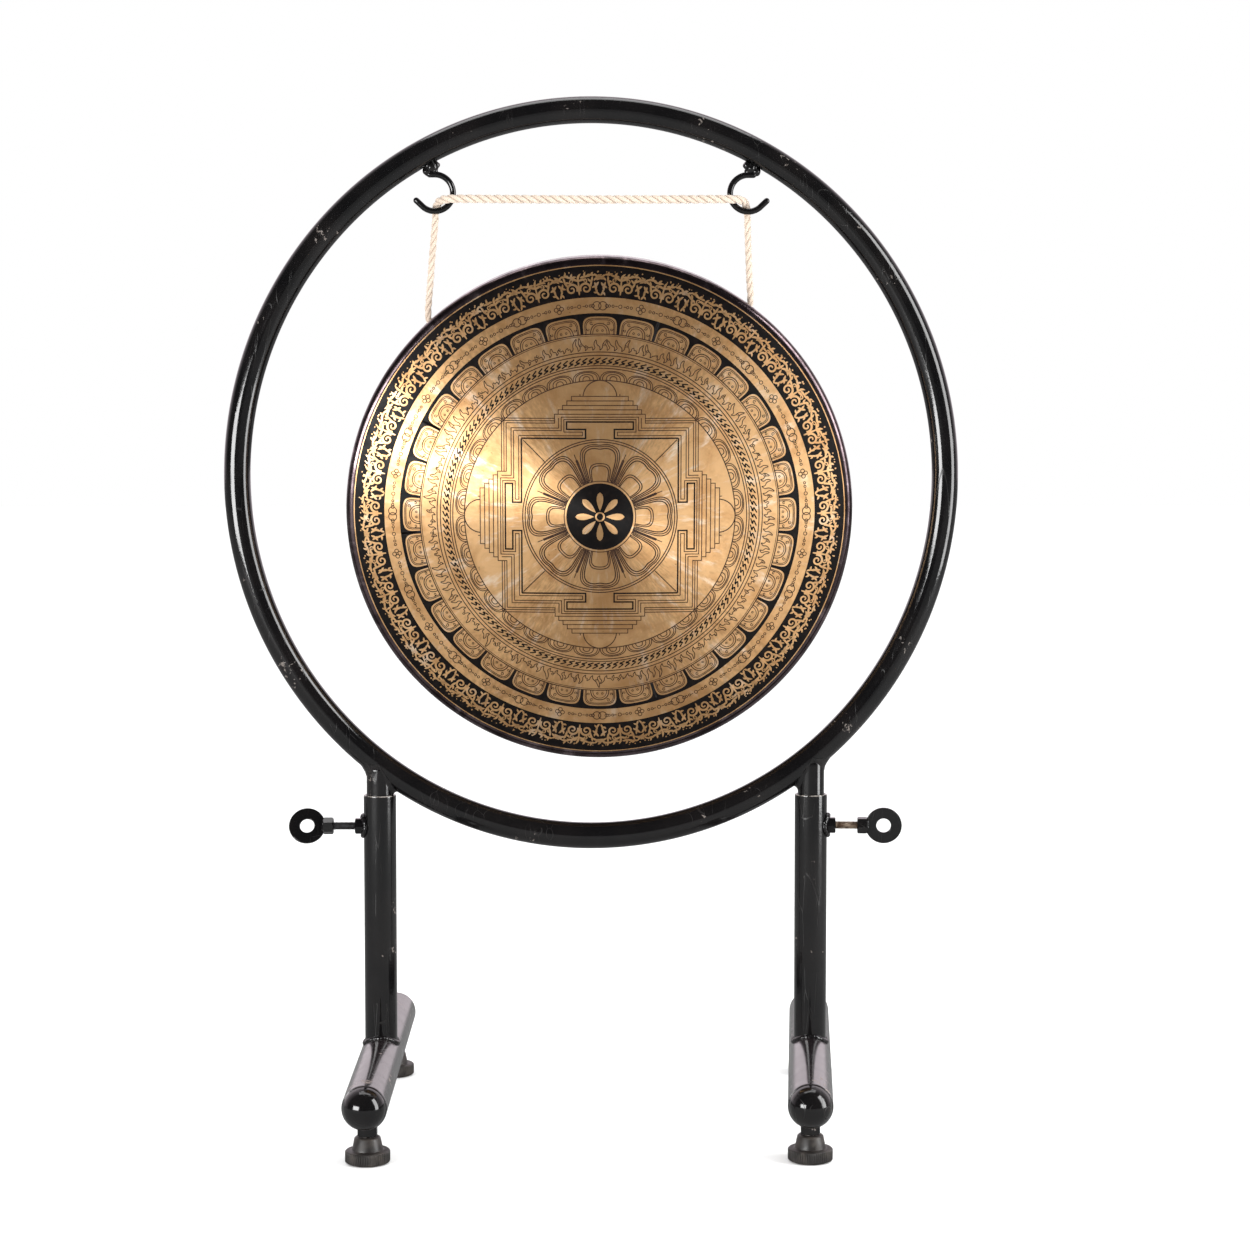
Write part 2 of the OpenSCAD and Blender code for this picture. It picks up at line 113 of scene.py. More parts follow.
def make_camera():
    data = bpy.data.cameras.new("camera")
    data.sensor_width = 36.0
    data.lens = 76.05
    camera = bpy.data.objects.new("camera", data)
    camera.location = (-0.011, -2.600, 0.6585)
    pitch_down, yaw_right = math.radians(3.71), math.radians(0.96)
    camera.rotation_euler = (math.pi / 2 - pitch_down, 0.0, -yaw_right)
    bpy.context.scene.collection.objects.link(camera)
    bpy.context.scene.camera = camera


# ---- mesh building ----

class Shape:
    """Points in millimetres and the faces between them."""

    def __init__(self):
        self.points, self.faces, self.count = [], [], 0

    def add(self, points, faces):
        points = np.asarray(points, float).reshape(-1, 3)
        self.points.append(points)
        self.faces.extend([[i + self.count for i in face] for face in faces])
        self.count += len(points)
        return self

    def join(self, other, place=None):
        points = np.concatenate(other.points)
        return self.add(points if place is None else moved(points, place), other.faces)

    def all_points(self):
        return np.concatenate(self.points)


def moved(points, place):
    m = np.array(place, float)
    return np.asarray(points, float) @ m[:3, :3].T + m[:3, 3]


def shift(x=0.0, y=0.0, z=0.0):
    return Matrix.Translation((x, y, z))


def turn(angle, axis):
    return Matrix.Rotation(math.radians(angle), 4, axis)


def angles(count):
    """Equal steps of one whole turn, in radians."""
    return np.arange(count) * TURN / count


def unit(a):
    """Points of the unit circle at angles in radians."""
    return np.stack([np.cos(a), np.sin(a)], -1)


def turned(r, a, z):
    """Points at radius r, angle a and height z."""
    return np.stack([r * np.cos(a), r * np.sin(a), np.broadcast_to(z, r.shape)], -1)


def normalised(vectors):
    return vectors / np.linalg.norm(vectors, axis=1)[:, None]


def run_along(path):
    """Distance from the start at each point of a path."""
    return np.concatenate([[0], np.cumsum(np.linalg.norm(np.diff(path, axis=0), axis=1))])


def grid_faces(rows, columns, wrap_rows=False, wrap_columns=False, flip=False):
    r, c = np.meshgrid(np.arange(rows if wrap_rows else rows - 1),
                       np.arange(columns if wrap_columns else columns - 1), indexing="ij")
    r2, c2 = (r + 1) % rows, (c + 1) % columns
    corners = [r * columns + c, r * columns + c2, r2 * columns + c2, r2 * columns + c]
    if flip:
        corners.reverse()
    return np.stack(corners, -1).reshape(-1, 4).tolist()


def bar_faces(rows, sides):
    """Faces of a round bar with both ends closed."""
    last = (rows - 1) * sides
    return grid_faces(rows, sides, wrap_columns=True) + [
        list(range(sides)), [last + k for k in reversed(range(sides))]]


def smooth_path(points, step, closed=False):
    """A smooth curve through the points, resampled at equal steps."""
    def between(a, b, start, end, t):
        return (end - t) / (end - start) * a + (t - start) / (end - start) * b

    p = np.asarray(points, float)
    n = len(p)
    fine = []
    for i in range(n if closed else n - 1):
        p0 = p[(i - 1) % n] if closed or i > 0 else 2 * p[0] - p[1]
        p1, p2 = p[i], p[(i + 1) % n]
        p3 = p[(i + 2) % n] if closed or i + 2 < n else 2 * p[-1] - p[-2]
        t1 = np.linalg.norm(p1 - p0) ** 0.5
        t2 = t1 + np.linalg.norm(p2 - p1) ** 0.5
        t3 = t2 + np.linalg.norm(p3 - p2) ** 0.5
        for t in np.linspace(t1, t2, 24, endpoint=False):
            a1, a2, a3 = between(p0, p1, 0, t1, t), between(p1, p2, t1, t2, t), between(p2, p3, t2, t3, t)
            b1, b2 = between(a1, a2, 0, t2, t), between(a2, a3, t1, t3, t)
            fine.append(between(b1, b2, t1, t2, t))
    fine.append(p[0] if closed else p[-1])
    fine = np.array(fine)
    run = run_along(fine)
    at = np.linspace(0, run[-1], max(2, round(run[-1] / step) + 1))
    even = np.stack([np.interp(at, run, fine[:, k]) for k in range(3)], -1)
    return even[:-1] if closed else even


def path_frames(path, closed=False):
    """Two normals at each point of a path, carried along without twist."""
    tangents = normalised(np.roll(path, -1, 0) - np.roll(path, 1, 0) if closed else np.gradient(path, axis=0))
    side = np.array([0.0, 1.0, 0.0])
    if abs(tangents[0] @ side) > 0.9:
        side = np.array([1.0, 0.0, 0.0])
    normals = []
    for t in tangents:
        side = side - t * (side @ t)
        side = side / np.linalg.norm(side)
        normals.append(side)
    normals = np.array(normals)
    return normals, np.cross(tangents, normals)


def sweep(path, radius, sides, closed=False):
    """A bar along a path. radius is a number or a column with one number per point."""
    path = np.asarray(path, float)
    u, v = path_frames(path, closed)
    r = np.broadcast_to(radius, (len(path), sides))
    a = angles(sides)
    ring = np.cos(a)[None, :, None] * u[:, None] + np.sin(a)[None, :, None] * v[:, None]
    points = path[:, None] + r[:, :, None] * ring
    faces = grid_faces(len(path), sides, True, True) if closed else bar_faces(len(path), sides)
    return Shape().add(points, faces)


def rounded_bar(path, radius, sides):
    """A bar whose two ends are rounded."""
    steps = np.radians([20, 40, 60, 78])
    first, last = normalised(np.array([path[0] - path[1], path[-1] - path[-2]]))
    head = [path[0] + first * radius * math.sin(a) for a in steps[::-1]]
    tail = [path[-1] + last * radius * math.sin(a) for a in steps]
    fall = [radius * math.cos(a) for a in steps]
    radii = fall[::-1] + [radius] * len(path) + fall
    return sweep(np.concatenate([head, path, tail]), np.array(radii)[:, None], sides)


def lathe(profile, segments, radius_at=None):
    """A closed profile of (radius, height) turned about Z. radius_at(radius, height, angle) may vary it."""
    profile = np.asarray(profile, float)
    a = angles(segments)[:, None]
    r, z = (np.broadcast_to(profile[:, k], (segments, len(profile))) for k in (0, 1))
    if radius_at is not None:
        r = radius_at(r, z, a)
    return Shape().add(turned(r, a, z), grid_faces(segments, len(profile), True, True, flip=True))


def arc(centre, radius, start, end, steps):
    """Points of an arc in a plane, angles in degrees."""
    return np.asarray(centre) + radius * unit(np.radians(np.linspace(start, end, steps)))


def tube_profile(inner, outer, low, high, bevel):
    """Closed profile of a straight tube with rounded edges."""
    out, back, bottom, top = outer - bevel, inner + bevel, low + bevel, high - bevel
    corners = ((out, bottom), (out, top), (back, top), (back, bottom))
    return np.concatenate([arc(at, bevel, 90 * k - 90, 90 * k, 5) for k, at in enumerate(corners)])


def long_tube(inner, outer, low, high, bevel, step, segments):
    """A tube with rings all along its outside."""
    rings = np.arange(low + 2 * bevel, high - 2 * bevel, step)
    walls = np.stack([np.full(len(rings), outer), rings], -1)
    p = tube_profile(inner, outer, low, high, bevel)
    return lathe(np.concatenate([p[:5], walls, p[5:]]), segments)


def hexagon_nut(flats, bore, low, high):
    """A chamfered hexagon nut about Z."""
    segments, face_r, slope = 96, flats / 2 * 0.97, math.tan(math.radians(30))
    a = angles(segments)
    hexagon = flats / 2 / np.cos((a + TURN / 12) % (TURN / 6) - TURN / 12)
    hexagon = np.minimum(hexagon, flats / 2 / math.cos(math.pi / 6) * 0.992)
    drop = (hexagon - face_r) * slope + 0.15
    levels = [(bore, low + 0.4), (bore + 0.5, low), (face_r, low), (hexagon, low + drop),
              (hexagon, high - drop), (face_r, high), (bore + 0.5, high), (bore, high - 0.4)]
    r, z = (np.stack([np.broadcast_to(level[k], segments) for level in levels], -1) for k in (0, 1))
    return Shape().add(turned(r, a[:, None], z), grid_faces(segments, len(levels), True, True, flip=True))


def threaded_rod(radius, low, high, pitch):
    """A rod with a helical thread and chamfered ends."""
    segments, depth = 48, 0.61 * pitch
    rows = int((high - low) / pitch * 8)
    z, a = np.linspace(low, high, rows)[:, None], angles(segments)[None, :]
    phase = (z / pitch - a / TURN) % 1.0
    ridge = np.clip(np.abs(phase - 0.5) * 2.4 - 0.2, 0, 1)
    fade = np.clip(np.minimum(z - low, high - z) / pitch, 0, 1)
    r = radius - depth * np.maximum(ridge, 1 - fade)
    faces = grid_faces(rows, segments, wrap_columns=True)
    faces += [list(reversed(range(segments))), [(rows - 1) * segments + k for k in range(segments)]]
    return Shape().add(turned(r, a, z), faces)


def lumpy(shape, amount, size, seed):
    """Pushes the points of a shape about with smooth noise."""
    points = shape.all_points()
    offset = Vector((seed * 7.31, seed * 3.17, seed * 5.53))
    for p in points:
        p += amount * np.array(noise.noise_vector(Vector(p) / size + offset))
    shape.points = [points]
    return shape


def weld_bead(path, radius, seed, closed=False):
    """A row of overlapping drops of weld along a path."""
    pitch, sides = 2.6, 14
    step = 0.6
    path = smooth_path(path, step, closed)
    run = np.arange(len(path)) * step
    draw = random.Random(seed)
    starts = [0.0]
    while starts[-1] < run[-1]:
        starts.append(starts[-1] + pitch * draw.uniform(0.75, 1.3))
    ripple = np.interp(run, starts, range(len(starts))) % 1.0
    swell = 0.86 + 0.2 * ripple ** 0.6
    wander = np.array([1 + 0.16 * noise.noise(Vector((s / 9.0, seed * 4.7, 0.3))) for s in run])
    radii = radius * swell * wander
    if not closed:
        radii = radii * np.clip(np.minimum(run, run[-1] - run) / radius + 0.25, 0, 1)
    return lumpy(sweep(path, radii[:, None], sides, closed), 0.28, 2.2, seed)


def add_piece(name, shape, material, body, slot, replaces=(), sharp=35.0, place=None):
    """A mesh object from a shape in millimetres, riding on a CAD body and standing for CAD nodes."""
    mesh = bpy.data.meshes.new(name)
    mesh.from_pydata((shape.all_points() * MM).tolist(), [], shape.faces)
    work = bmesh.new()
    work.from_mesh(mesh)
    bmesh.ops.remove_doubles(work, verts=work.verts, dist=1e-7)
    bmesh.ops.dissolve_degenerate(work, edges=work.edges, dist=1e-8)
    bmesh.ops.recalc_face_normals(work, faces=work.faces)
    work.to_mesh(mesh)
    work.free()
    mesh.polygons.foreach_set("use_smooth", [True] * len(mesh.polygons))
    mesh.set_sharp_from_angle(angle=math.radians(sharp))
    mesh.materials.append(material)
    obj = bpy.data.objects.new(name, mesh)
    bpy.context.scene.collection.objects.link(obj)
    if place is not None:
        in_metres = Matrix(place)
        in_metres.translation = in_metres.translation * MM
        obj.matrix_world = in_metres
    if body is not None:
        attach(obj, body)
    if replaces:
        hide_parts(*replaces)
    return obj


# ---- materials: sizes of grains and depths of relief in metres, colours linear ----

BARE_STEEL = (0.22, 0.20, 0.18)
BRIGHT_AXIS = 184  # middle of the face's bright sector, in degrees from the gong's own +X

class Nodes:
    """Short calls for building the nodes of the world or of a material."""

    def __init__(self, owner):
        owner.use_nodes = True
        self.tree = owner.node_tree

    def add(self, kind, inputs=None, **settings):
        node = self.tree.nodes.new(kind)
        for key, value in settings.items():
            setattr(node, key, value)
        for key, value in (inputs or {}).items():
            self.link(value, node.inputs[key])
        return node

    def link(self, source, target):
        if hasattr(source, "is_output"):
            self.tree.links.new(source, target)
        else:
            target.default_value = source

    def split(self, vector):
        return self.add("ShaderNodeSeparateXYZ", {0: vector}).outputs

    def combine(self, *parts):
        return self.add("ShaderNodeCombineXYZ", dict(enumerate(parts))).outputs[0]

    def noise(self, size, detail=4.0, rough=0.5, stretch=(1, 1, 1), distort=0.0, at=None):
        """Noise whose grains are about `size` metres across."""
        scaled = self.add("ShaderNodeMapping", {"Vector": at or self.place, "Scale": stretch}).outputs[0]
        return self.add("ShaderNodeTexNoise", {"Vector": scaled, "Scale": 1.0 / size, "Detail": detail,
                                               "Roughness": rough, "Distortion": distort}).outputs["Fac"]

    def ramp(self, value, low, high, to_low=0.0, to_high=1.0):
        inputs = dict(enumerate((value, low, high, to_low, to_high)))
        return self.add("ShaderNodeMapRange", inputs, interpolation_type="SMOOTHSTEP").outputs[0]

    def mix(self, share, a, b):
        a, b = (c if hasattr(c, "is_output") else (*c, 1.0) for c in (a, b))
        return self.add("ShaderNodeMix", {0: share, 6: a, 7: b}, data_type="RGBA").outputs[2]

    def math(self, operation, a, b=0.0):
        return self.add("ShaderNodeMath", {0: a, 1: b}, operation=operation).outputs[0]

    def bump(self, height, distance, strength, normal=None):
        inputs = {"Distance": distance, "Strength": strength, "Height": height}
        if normal is not None:
            inputs["Normal"] = normal
        return self.add("ShaderNodeBump", inputs).outputs[0]

    def scratches(self, size, width, angle):
        """Thin random lines, 1 on a line and 0 elsewhere."""
        stretched = {"Vector": self.place, "Rotation": angle, "Scale": (1.0, 1.0, 0.12)}
        cells = {"Vector": self.add("ShaderNodeMapping", stretched).outputs[0], "Scale": 1.0 / size}
        cells = self.add("ShaderNodeTexVoronoi", cells, feature="DISTANCE_TO_EDGE")
        line = self.ramp(cells.outputs["Distance"], 0.0, width, 1.0, 0.0)
        return self.math("MULTIPLY", line, self.ramp(self.noise(size * 1.7, 2.0), 0.52, 0.6))


class Surface(Nodes):
    """A material, its shader and its place in the object's own frame."""

    def __init__(self, name):
        self.material = bpy.data.materials.new(name)
        super().__init__(self.material)
        self.shader = self.tree.nodes["Principled BSDF"]
        self.place = self.add("ShaderNodeTexCoord").outputs["Object"]

    def set(self, **values):
        for key, value in values.items():
            self.link(value, self.shader.inputs[key.replace("_", " ")])


def paint(name, colour, gloss, chip_colour, chips, scratch_share, grime, ior=1.5, worn_z=None):
    """Sprayed enamel over steel: orange peel, fine scratches, small chips and a film of dust.

    worn_z is the height, in millimetres, of an edge that is rubbed bare.
    """
    n = Surface(name)
    cloud = n.noise(0.045, 3.0)
    fine = n.noise(0.0035, 5.0, 0.6)
    scratch = n.math("MAXIMUM", n.scratches(0.022, 0.012, (0.3, 0.5, 0.0)),
                     n.scratches(0.015, 0.010, (1.3, 0.2, 0.9)))
    chip = n.math("MULTIPLY", n.noise(0.006, 4.0, 0.65), n.ramp(cloud, 0.35, 0.7))
    chip = n.ramp(chip, chips, chips + 0.012)
    damage = n.math("ADD", chip, scratch)
    base = n.mix(n.ramp(cloud, 0.3, 0.75), colour, grime)
    base = n.mix(n.math("MULTIPLY", scratch, scratch_share), base, chip_colour)
    base = n.mix(chip, base, chip_colour)
    if worn_z is not None:
        edge = n.ramp(n.split(n.place)["Z"], (worn_z - 1.3) * MM, (worn_z - 0.3) * MM)
        base = n.mix(n.math("MULTIPLY", edge, n.ramp(fine, 0.40, 0.55)), base, BARE_STEEL)
    rough = n.ramp(n.noise(0.02, 4.0), 0.3, 0.75, gloss, gloss + 0.07)
    rough = n.math("ADD", rough, n.math("MULTIPLY", damage, 0.3))
    peel = n.bump(n.noise(0.0028, 2.0), 0.00006, 0.5)
    normal = n.bump(n.math("SUBTRACT", fine, damage), 0.00008, 0.35, peel)
    n.set(Base_Color=base, Roughness=rough, Normal=normal, IOR=ior)
    return n.material


def spun_tangent(n):
    """Sets the shader's tangent to the outward radius in the gong's own frame; returns x and y."""
    x, y, _ = n.split(n.place)
    outward = n.add("ShaderNodeVectorTransform", {0: n.combine(x, y)},
                    vector_type="VECTOR", convert_from="OBJECT", convert_to="WORLD")
    n.set(Tangent=outward.outputs[0])
    return x, y


def bronze(name, colour, patina, bright, rough, spin=0.85, rays=1.0, metallic=1.0, shade_sectors=0.0):
    """Lathe-turned bronze in the gong's own frame: rings, hammer rays with a painted highlight in lighter
    radial streaks, and blotches of patina.

    shade_sectors is how deep a painted shade, in a darker patina colour, lies in two opposite wedges, above and
    below the middle, away from the bright sector.
    """
    n = Surface(name)
    x, y = spun_tangent(n)
    radius = n.math("SQRT", n.math("ADD", n.math("MULTIPLY", x, x), n.math("MULTIPLY", y, y)))
    angle = n.math("ARCTAN2", y, x)
    around = n.combine(n.math("COSINE", angle), n.math("SINE", angle), n.math("MULTIPLY", radius, 3.0))
    streak = n.noise(0.09, 5.0, 0.65, at=around)
    fine_streak = n.noise(0.02, 4.0, 0.6, at=around)
    blotch = n.noise(0.03, 6.0, 0.62, distort=0.6)
    groove = n.noise(0.0011, 3.0, 0.6, at=n.combine(radius))
    tone = n.mix(n.ramp(blotch, 0.36, 0.7), colour, patina)
    # painted highlight: radial streaks in the lighter colour bright, where the turned face would catch the
    # light
    tone = n.mix(n.ramp(streak, 0.52, 0.78, 0.0, 0.75), tone, bright)
    # painted shade: the colour darkens in two wedges at right angles to BRIGHT_AXIS, where the turned face
    # catches no light
    wander = n.math("SUBTRACT", n.ramp(fine_streak, 0.25, 0.75, -0.35, 0.35), math.radians(BRIGHT_AXIS))
    shade_lobe = n.math("COSINE", n.math("MULTIPLY", n.math("ADD", angle, wander), 2.0))
    tone = n.mix(n.ramp(shade_lobe, -1.0, 0.4, shade_sectors, 0.0), tone, tuple(0.55 * c for c in patina))
    spots = n.ramp(n.noise(0.0045, 3.0, 0.7), 0.66, 0.72)
    tone = n.mix(n.math("MULTIPLY", spots, n.ramp(blotch, 0.45, 0.65)), tone, tuple(0.35 * c for c in patina))
    uneven = n.math("MULTIPLY", n.ramp(fine_streak, 0.3, 0.7, -0.05, 0.07), rays)
    uneven = n.math("ADD", n.ramp(blotch, 0.3, 0.75, rough - 0.05, rough + 0.07), uneven)
    hammer = n.bump(n.noise(0.022, 2.0, 0.5), 0.0006, 0.22)
    ray = n.bump(streak, 0.0012, 0.16 * rays, hammer)
    n.set(Base_Color=tone, Metallic=metallic, Anisotropic=spin, Roughness=uneven,
          Normal=n.bump(groove, 0.00003, 0.25, ray))
    return n.material


def lacquer(name, colour, sheen_colour, rough, gloss):
    """Thin screen-printed lacquer with worn, uneven ink."""
    n = Surface(name)
    spun_tangent(n)
    worn = n.noise(0.005, 5.0, 0.65)
    n.set(Base_Color=n.mix(n.ramp(worn, 0.45, 0.75), colour, sheen_colour), Anisotropic=0.8,
          Roughness=n.ramp(n.noise(0.012, 3.0), 0.3, 0.7, rough, rough + 0.15), Specular_IOR_Level=gloss,
          Normal=n.bump(worn, 0.00003, 0.5))
    return n.material


def worn_steel(name, colour, dirt, metallic, rough):
    """Bare or browned thread with patches of dirt."""
    n = Surface(name)
    patch = n.noise(0.004, 5.0, 0.6)
    n.set(Base_Color=n.mix(n.ramp(patch, 0.4, 0.65), colour, dirt), Metallic=metallic,
          Roughness=n.ramp(n.noise(0.002, 3.0), 0.3, 0.7, rough, rough + 0.2),
          Normal=n.bump(n.noise(0.0008, 3.0), 0.00006, 0.4))
    return n.material


def moulded(name, colour, dust, rough, grain, grain_depth):
    """Moulded plastic, nylon or rubber with a fine grain and some dust."""
    n = Surface(name)
    n.set(Base_Color=n.mix(n.ramp(n.noise(0.012, 5.0, 0.6), 0.42, 0.72), colour, dust),
          Roughness=n.ramp(n.noise(0.006, 3.0), 0.3, 0.7, rough, rough + 0.18),
          Normal=n.bump(n.noise(grain, 3.0), grain_depth, 0.5))
    return n.material


def cotton(name):
    """Twisted cotton: pale yarns, a painted shade that makes them darker and greyer in the lay, and a soft
    sheen.
    """
    n = Surface(name)
    fibre = n.noise(0.0006, 4.0, 0.7, stretch=(1, 1, 0.35))
    soil = n.noise(0.03, 4.0)
    lay = n.add("ShaderNodeAttribute", attribute_name="lay_shade").outputs["Fac"]
    base = n.mix(n.ramp(soil, 0.35, 0.75), (0.50, 0.41, 0.33), (0.43, 0.34, 0.27))
    base = n.mix(n.ramp(fibre, 0.4, 0.7, 0.0, 0.35), base, (0.58, 0.50, 0.42))
    # painted shade in the lay, where the strands and yarns meet
    base = n.mix(n.ramp(lay, 0.2, 1.0, 0.0, 0.65), base, (0.27, 0.20, 0.15))
    n.set(Base_Color=base, Roughness=0.85, Sheen_Weight=0.3, Sheen_Roughness=0.5,
          Normal=n.bump(fibre, 0.0004, 0.5))
    return n.material


def make_materials():
    black, film, grey_chip = (0.0020, 0.0020, 0.0022), (0.0045, 0.004, 0.004), (0.10, 0.085, 0.075)
    return {
        "black": paint("black_enamel", black, 0.07, grey_chip, 0.60, 0.03, film),
        "post": paint("post_enamel", black, 0.07, grey_chip, 0.585, 0.04, film, worn_z=POST_TOP_Z),
        "foot": paint("scuffed_enamel", (0.005, 0.004, 0.0045), 0.16, (0.16, 0.12, 0.10), 0.57, 0.12,
                      (0.014, 0.010, 0.011), ior=1.85),
        "weld": paint("weld_enamel", (0.003, 0.003, 0.0032), 0.10, (0.12, 0.10, 0.09), 0.57, 0.05,
                      (0.006, 0.005, 0.005)),
        "bare_thread": worn_steel("browned_thread", (0.33, 0.26, 0.20), (0.09, 0.055, 0.035), 0.8, 0.35),
        "black_thread": worn_steel("blacked_thread", (0.03, 0.03, 0.032), (0.012, 0.010, 0.010), 0.3, 0.3),
        "stud": worn_steel("stud_thread", (0.30, 0.29, 0.28), (0.08, 0.06, 0.05), 0.9, 0.35),
        "nylon": moulded("nylon", (0.78, 0.76, 0.69), (0.55, 0.50, 0.42), 0.35, 0.0012, 0.00005),
        "knob": moulded("knob_plastic", (0.011, 0.009, 0.008), (0.036, 0.029, 0.024), 0.38, 0.0007, 0.00005),
        "rubber": moulded("pad_rubber", (0.030, 0.024, 0.021), (0.09, 0.07, 0.055), 0.7, 0.0006, 0.00008),
        # the third colour of each bronze is the painted highlight of its radial streaks
        "face": bronze("gong_face", (0.80, 0.49, 0.235), (0.55, 0.300, 0.125), (1.0, 0.87, 0.70), 0.38,
                       metallic=0.86, shade_sectors=0.5),
        "back": bronze("gong_back", (0.33, 0.20, 0.10), (0.235, 0.135, 0.070), (0.50, 0.33, 0.18), 0.40,
                       rays=0.8, shade_sectors=0.4),
        "rim": bronze("gong_rim", (0.130, 0.098, 0.105), (0.035, 0.025, 0.027), (0.42, 0.33, 0.35), 0.20,
                      spin=0.3, rays=0.4),
        "line": lacquer("line_lacquer", (0.020, 0.009, 0.005), (0.055, 0.027, 0.012), 0.42, 0.2),
        "ground": lacquer("ground_lacquer", (0.0020, 0.0014, 0.0014), (0.0075, 0.0045, 0.0035), 0.36, 0.16),
        "rope": cotton("cotton_rope"),
    }


# ---- rope ----

def rope_shape(path):
    """Three yarn-ribbed strands laid round the path, drawn thinner by the load where the rope hangs, with a
    painted shade for each point, deepest in the lay.
    """
    run = run_along(path)
    u, v = path_frames(path)
    sides, yarns, strands = 24, 6, 3
    strand_r, offset = 0.262 * ROPE_D, 0.238 * ROPE_D
    hanging = np.clip((SPAN[3][2] - path[:, 2]) / 12.0, 0, 1)
    slim = 1 - 0.20 * hanging - 0.10 * np.exp(-(np.minimum(run, run[-1] - run) / 16.0) ** 2)
    shape, depth = Shape(), []
    a = angles(sides)
    for k in range(strands):
        wind = run / STRAND_LAY * TURN + k * TURN / strands
        wobble = np.array([0.06 * noise.noise(Vector((s / 14.0, k * 9.1, 2.0))) for s in run])
        out = np.cos(wind)[:, None] * u + np.sin(wind)[:, None] * v
        across = -np.sin(wind)[:, None] * u + np.cos(wind)[:, None] * v
        centre = path + out * (offset * slim * (1 + wobble))[:, None]
        twist = -run / (STRAND_LAY * 0.62) * TURN
        ridge = 1 + 0.055 * np.cos(yarns * (a[None, :] + twist[:, None]))
        r = strand_r * slim[:, None] * ridge
        ring = np.cos(a)[None, :, None] * out[:, None] + np.sin(a)[None, :, None] * across[:, None] * 1.12
        shape.add(centre[:, None] + r[:, :, None] * ring, bar_faces(len(path), sides))
        # painted shade: most on each strand's side towards the rope's middle and in the grooves between its
        # yarns
        sunk = np.clip(0.55 - np.cos(a)[None, :] * 0.75, 0, 1) + 0.30 * (1 - (ridge - 0.945) / 0.11)
        depth.append(np.clip(sunk, 0, 1).ravel())
    return shape, np.concatenate(depth)


def make_rope(material):
    path = smooth_path(LEFT_DROP + SPAN + RIGHT_DROP, 0.75)
    shape, depth = rope_shape(path)
    rope = add_piece("twisted_rope", shape, material, None, "cotton_rope",
                     ("rope_span", "left_rope_drop", "right_rope_drop"), sharp=70)
    mesh = rope.data
    # the painted shade in the lay goes to the cotton material
    if len(mesh.vertices) == len(depth):
        mesh.attributes.new("lay_shade", "FLOAT", "POINT").data.foreach_set("value", depth.astype(np.float32))
    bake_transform(rope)
    knots = Shape()
    for end, towards in ((path[0], path[4]), (path[-1], path[-5])):
        axis = Vector(towards - end).normalized()
        place = Matrix.Translation(Vector(end)) @ axis.to_track_quat("Z", "Y").to_matrix().to_4x4()
        knots.join(overhand_knot(), place)
    knot = add_piece("rope_end_knots", knots, material, "rope_sling", "cotton_rope",
                     ("rope_knots",), sharp=70)


def overhand_knot():
    """A tight knot in three strands, about 18 mm across, about the origin."""
    t = np.linspace(0, TURN, 90, endpoint=False)
    bulk = 3.3
    core = np.stack([np.sin(t) + 2 * np.sin(2 * t), np.cos(t) - 2 * np.cos(2 * t), -np.sin(3 * t) * 1.3], -1)
    core = core * 1.62
    u, v = path_frames(core, closed=True)
    shape = Shape()
    for k in range(3):
        wind = t / TURN * 5 * TURN + k * TURN / 3
        out = np.cos(wind)[:, None] * u + np.sin(wind)[:, None] * v
        shape.join(sweep(core + out * bulk * 0.42, bulk * 0.56, 12, closed=True))
    return shape


# ---- hoop frame ----

def oval(step):
    """Points along the middle of the hoop's tube: four arcs whose joints lie at 45 degrees."""
    points = []
    for quarter in range(4):
        is_side = quarter % 2 == 0
        radius = SIDE_ARC_R if is_side else END_ARC_R
        middle = -ARC_SHIFT if is_side else ARC_SHIFT
        count = int(radius * math.pi / 2 / step)
        a = np.radians(-45 + 90 * np.arange(count) / count)
        x, z = middle + radius * np.cos(a), radius * np.sin(a)
        c, s = round(math.cos(quarter * math.pi / 2)), round(math.sin(quarter * math.pi / 2))
        points.append(np.stack([c * x - s * z, 0 * x, HOOP_Z + s * x + c * z], -1))
    return np.concatenate(points)


def bulge(radius, x):
    """How far a bar's surface lies from its axis, seen at distance x beside the axis."""
    return math.sqrt(max(0.0, radius ** 2 - x ** 2))


def hoop_underside(x, reach):
    """Height at which the hoop's lower arc, grown by reach, crosses a vertical line."""
    return HOOP_Z - ARC_SHIFT - math.sqrt((END_ARC_R + reach) ** 2 - x ** 2)


def hoop_heights(x_middle, r, a, sink):
    """Heights of the hoop's underside round a spigot, at radius r and angles a, sunk into the tube."""
    x, y = x_middle + r * np.cos(a), TUBE_R * np.sin(a)
    return np.array([hoop_underside(xi, bulge(TUBE_R, yi) - sink) for xi, yi in zip(x, y)])


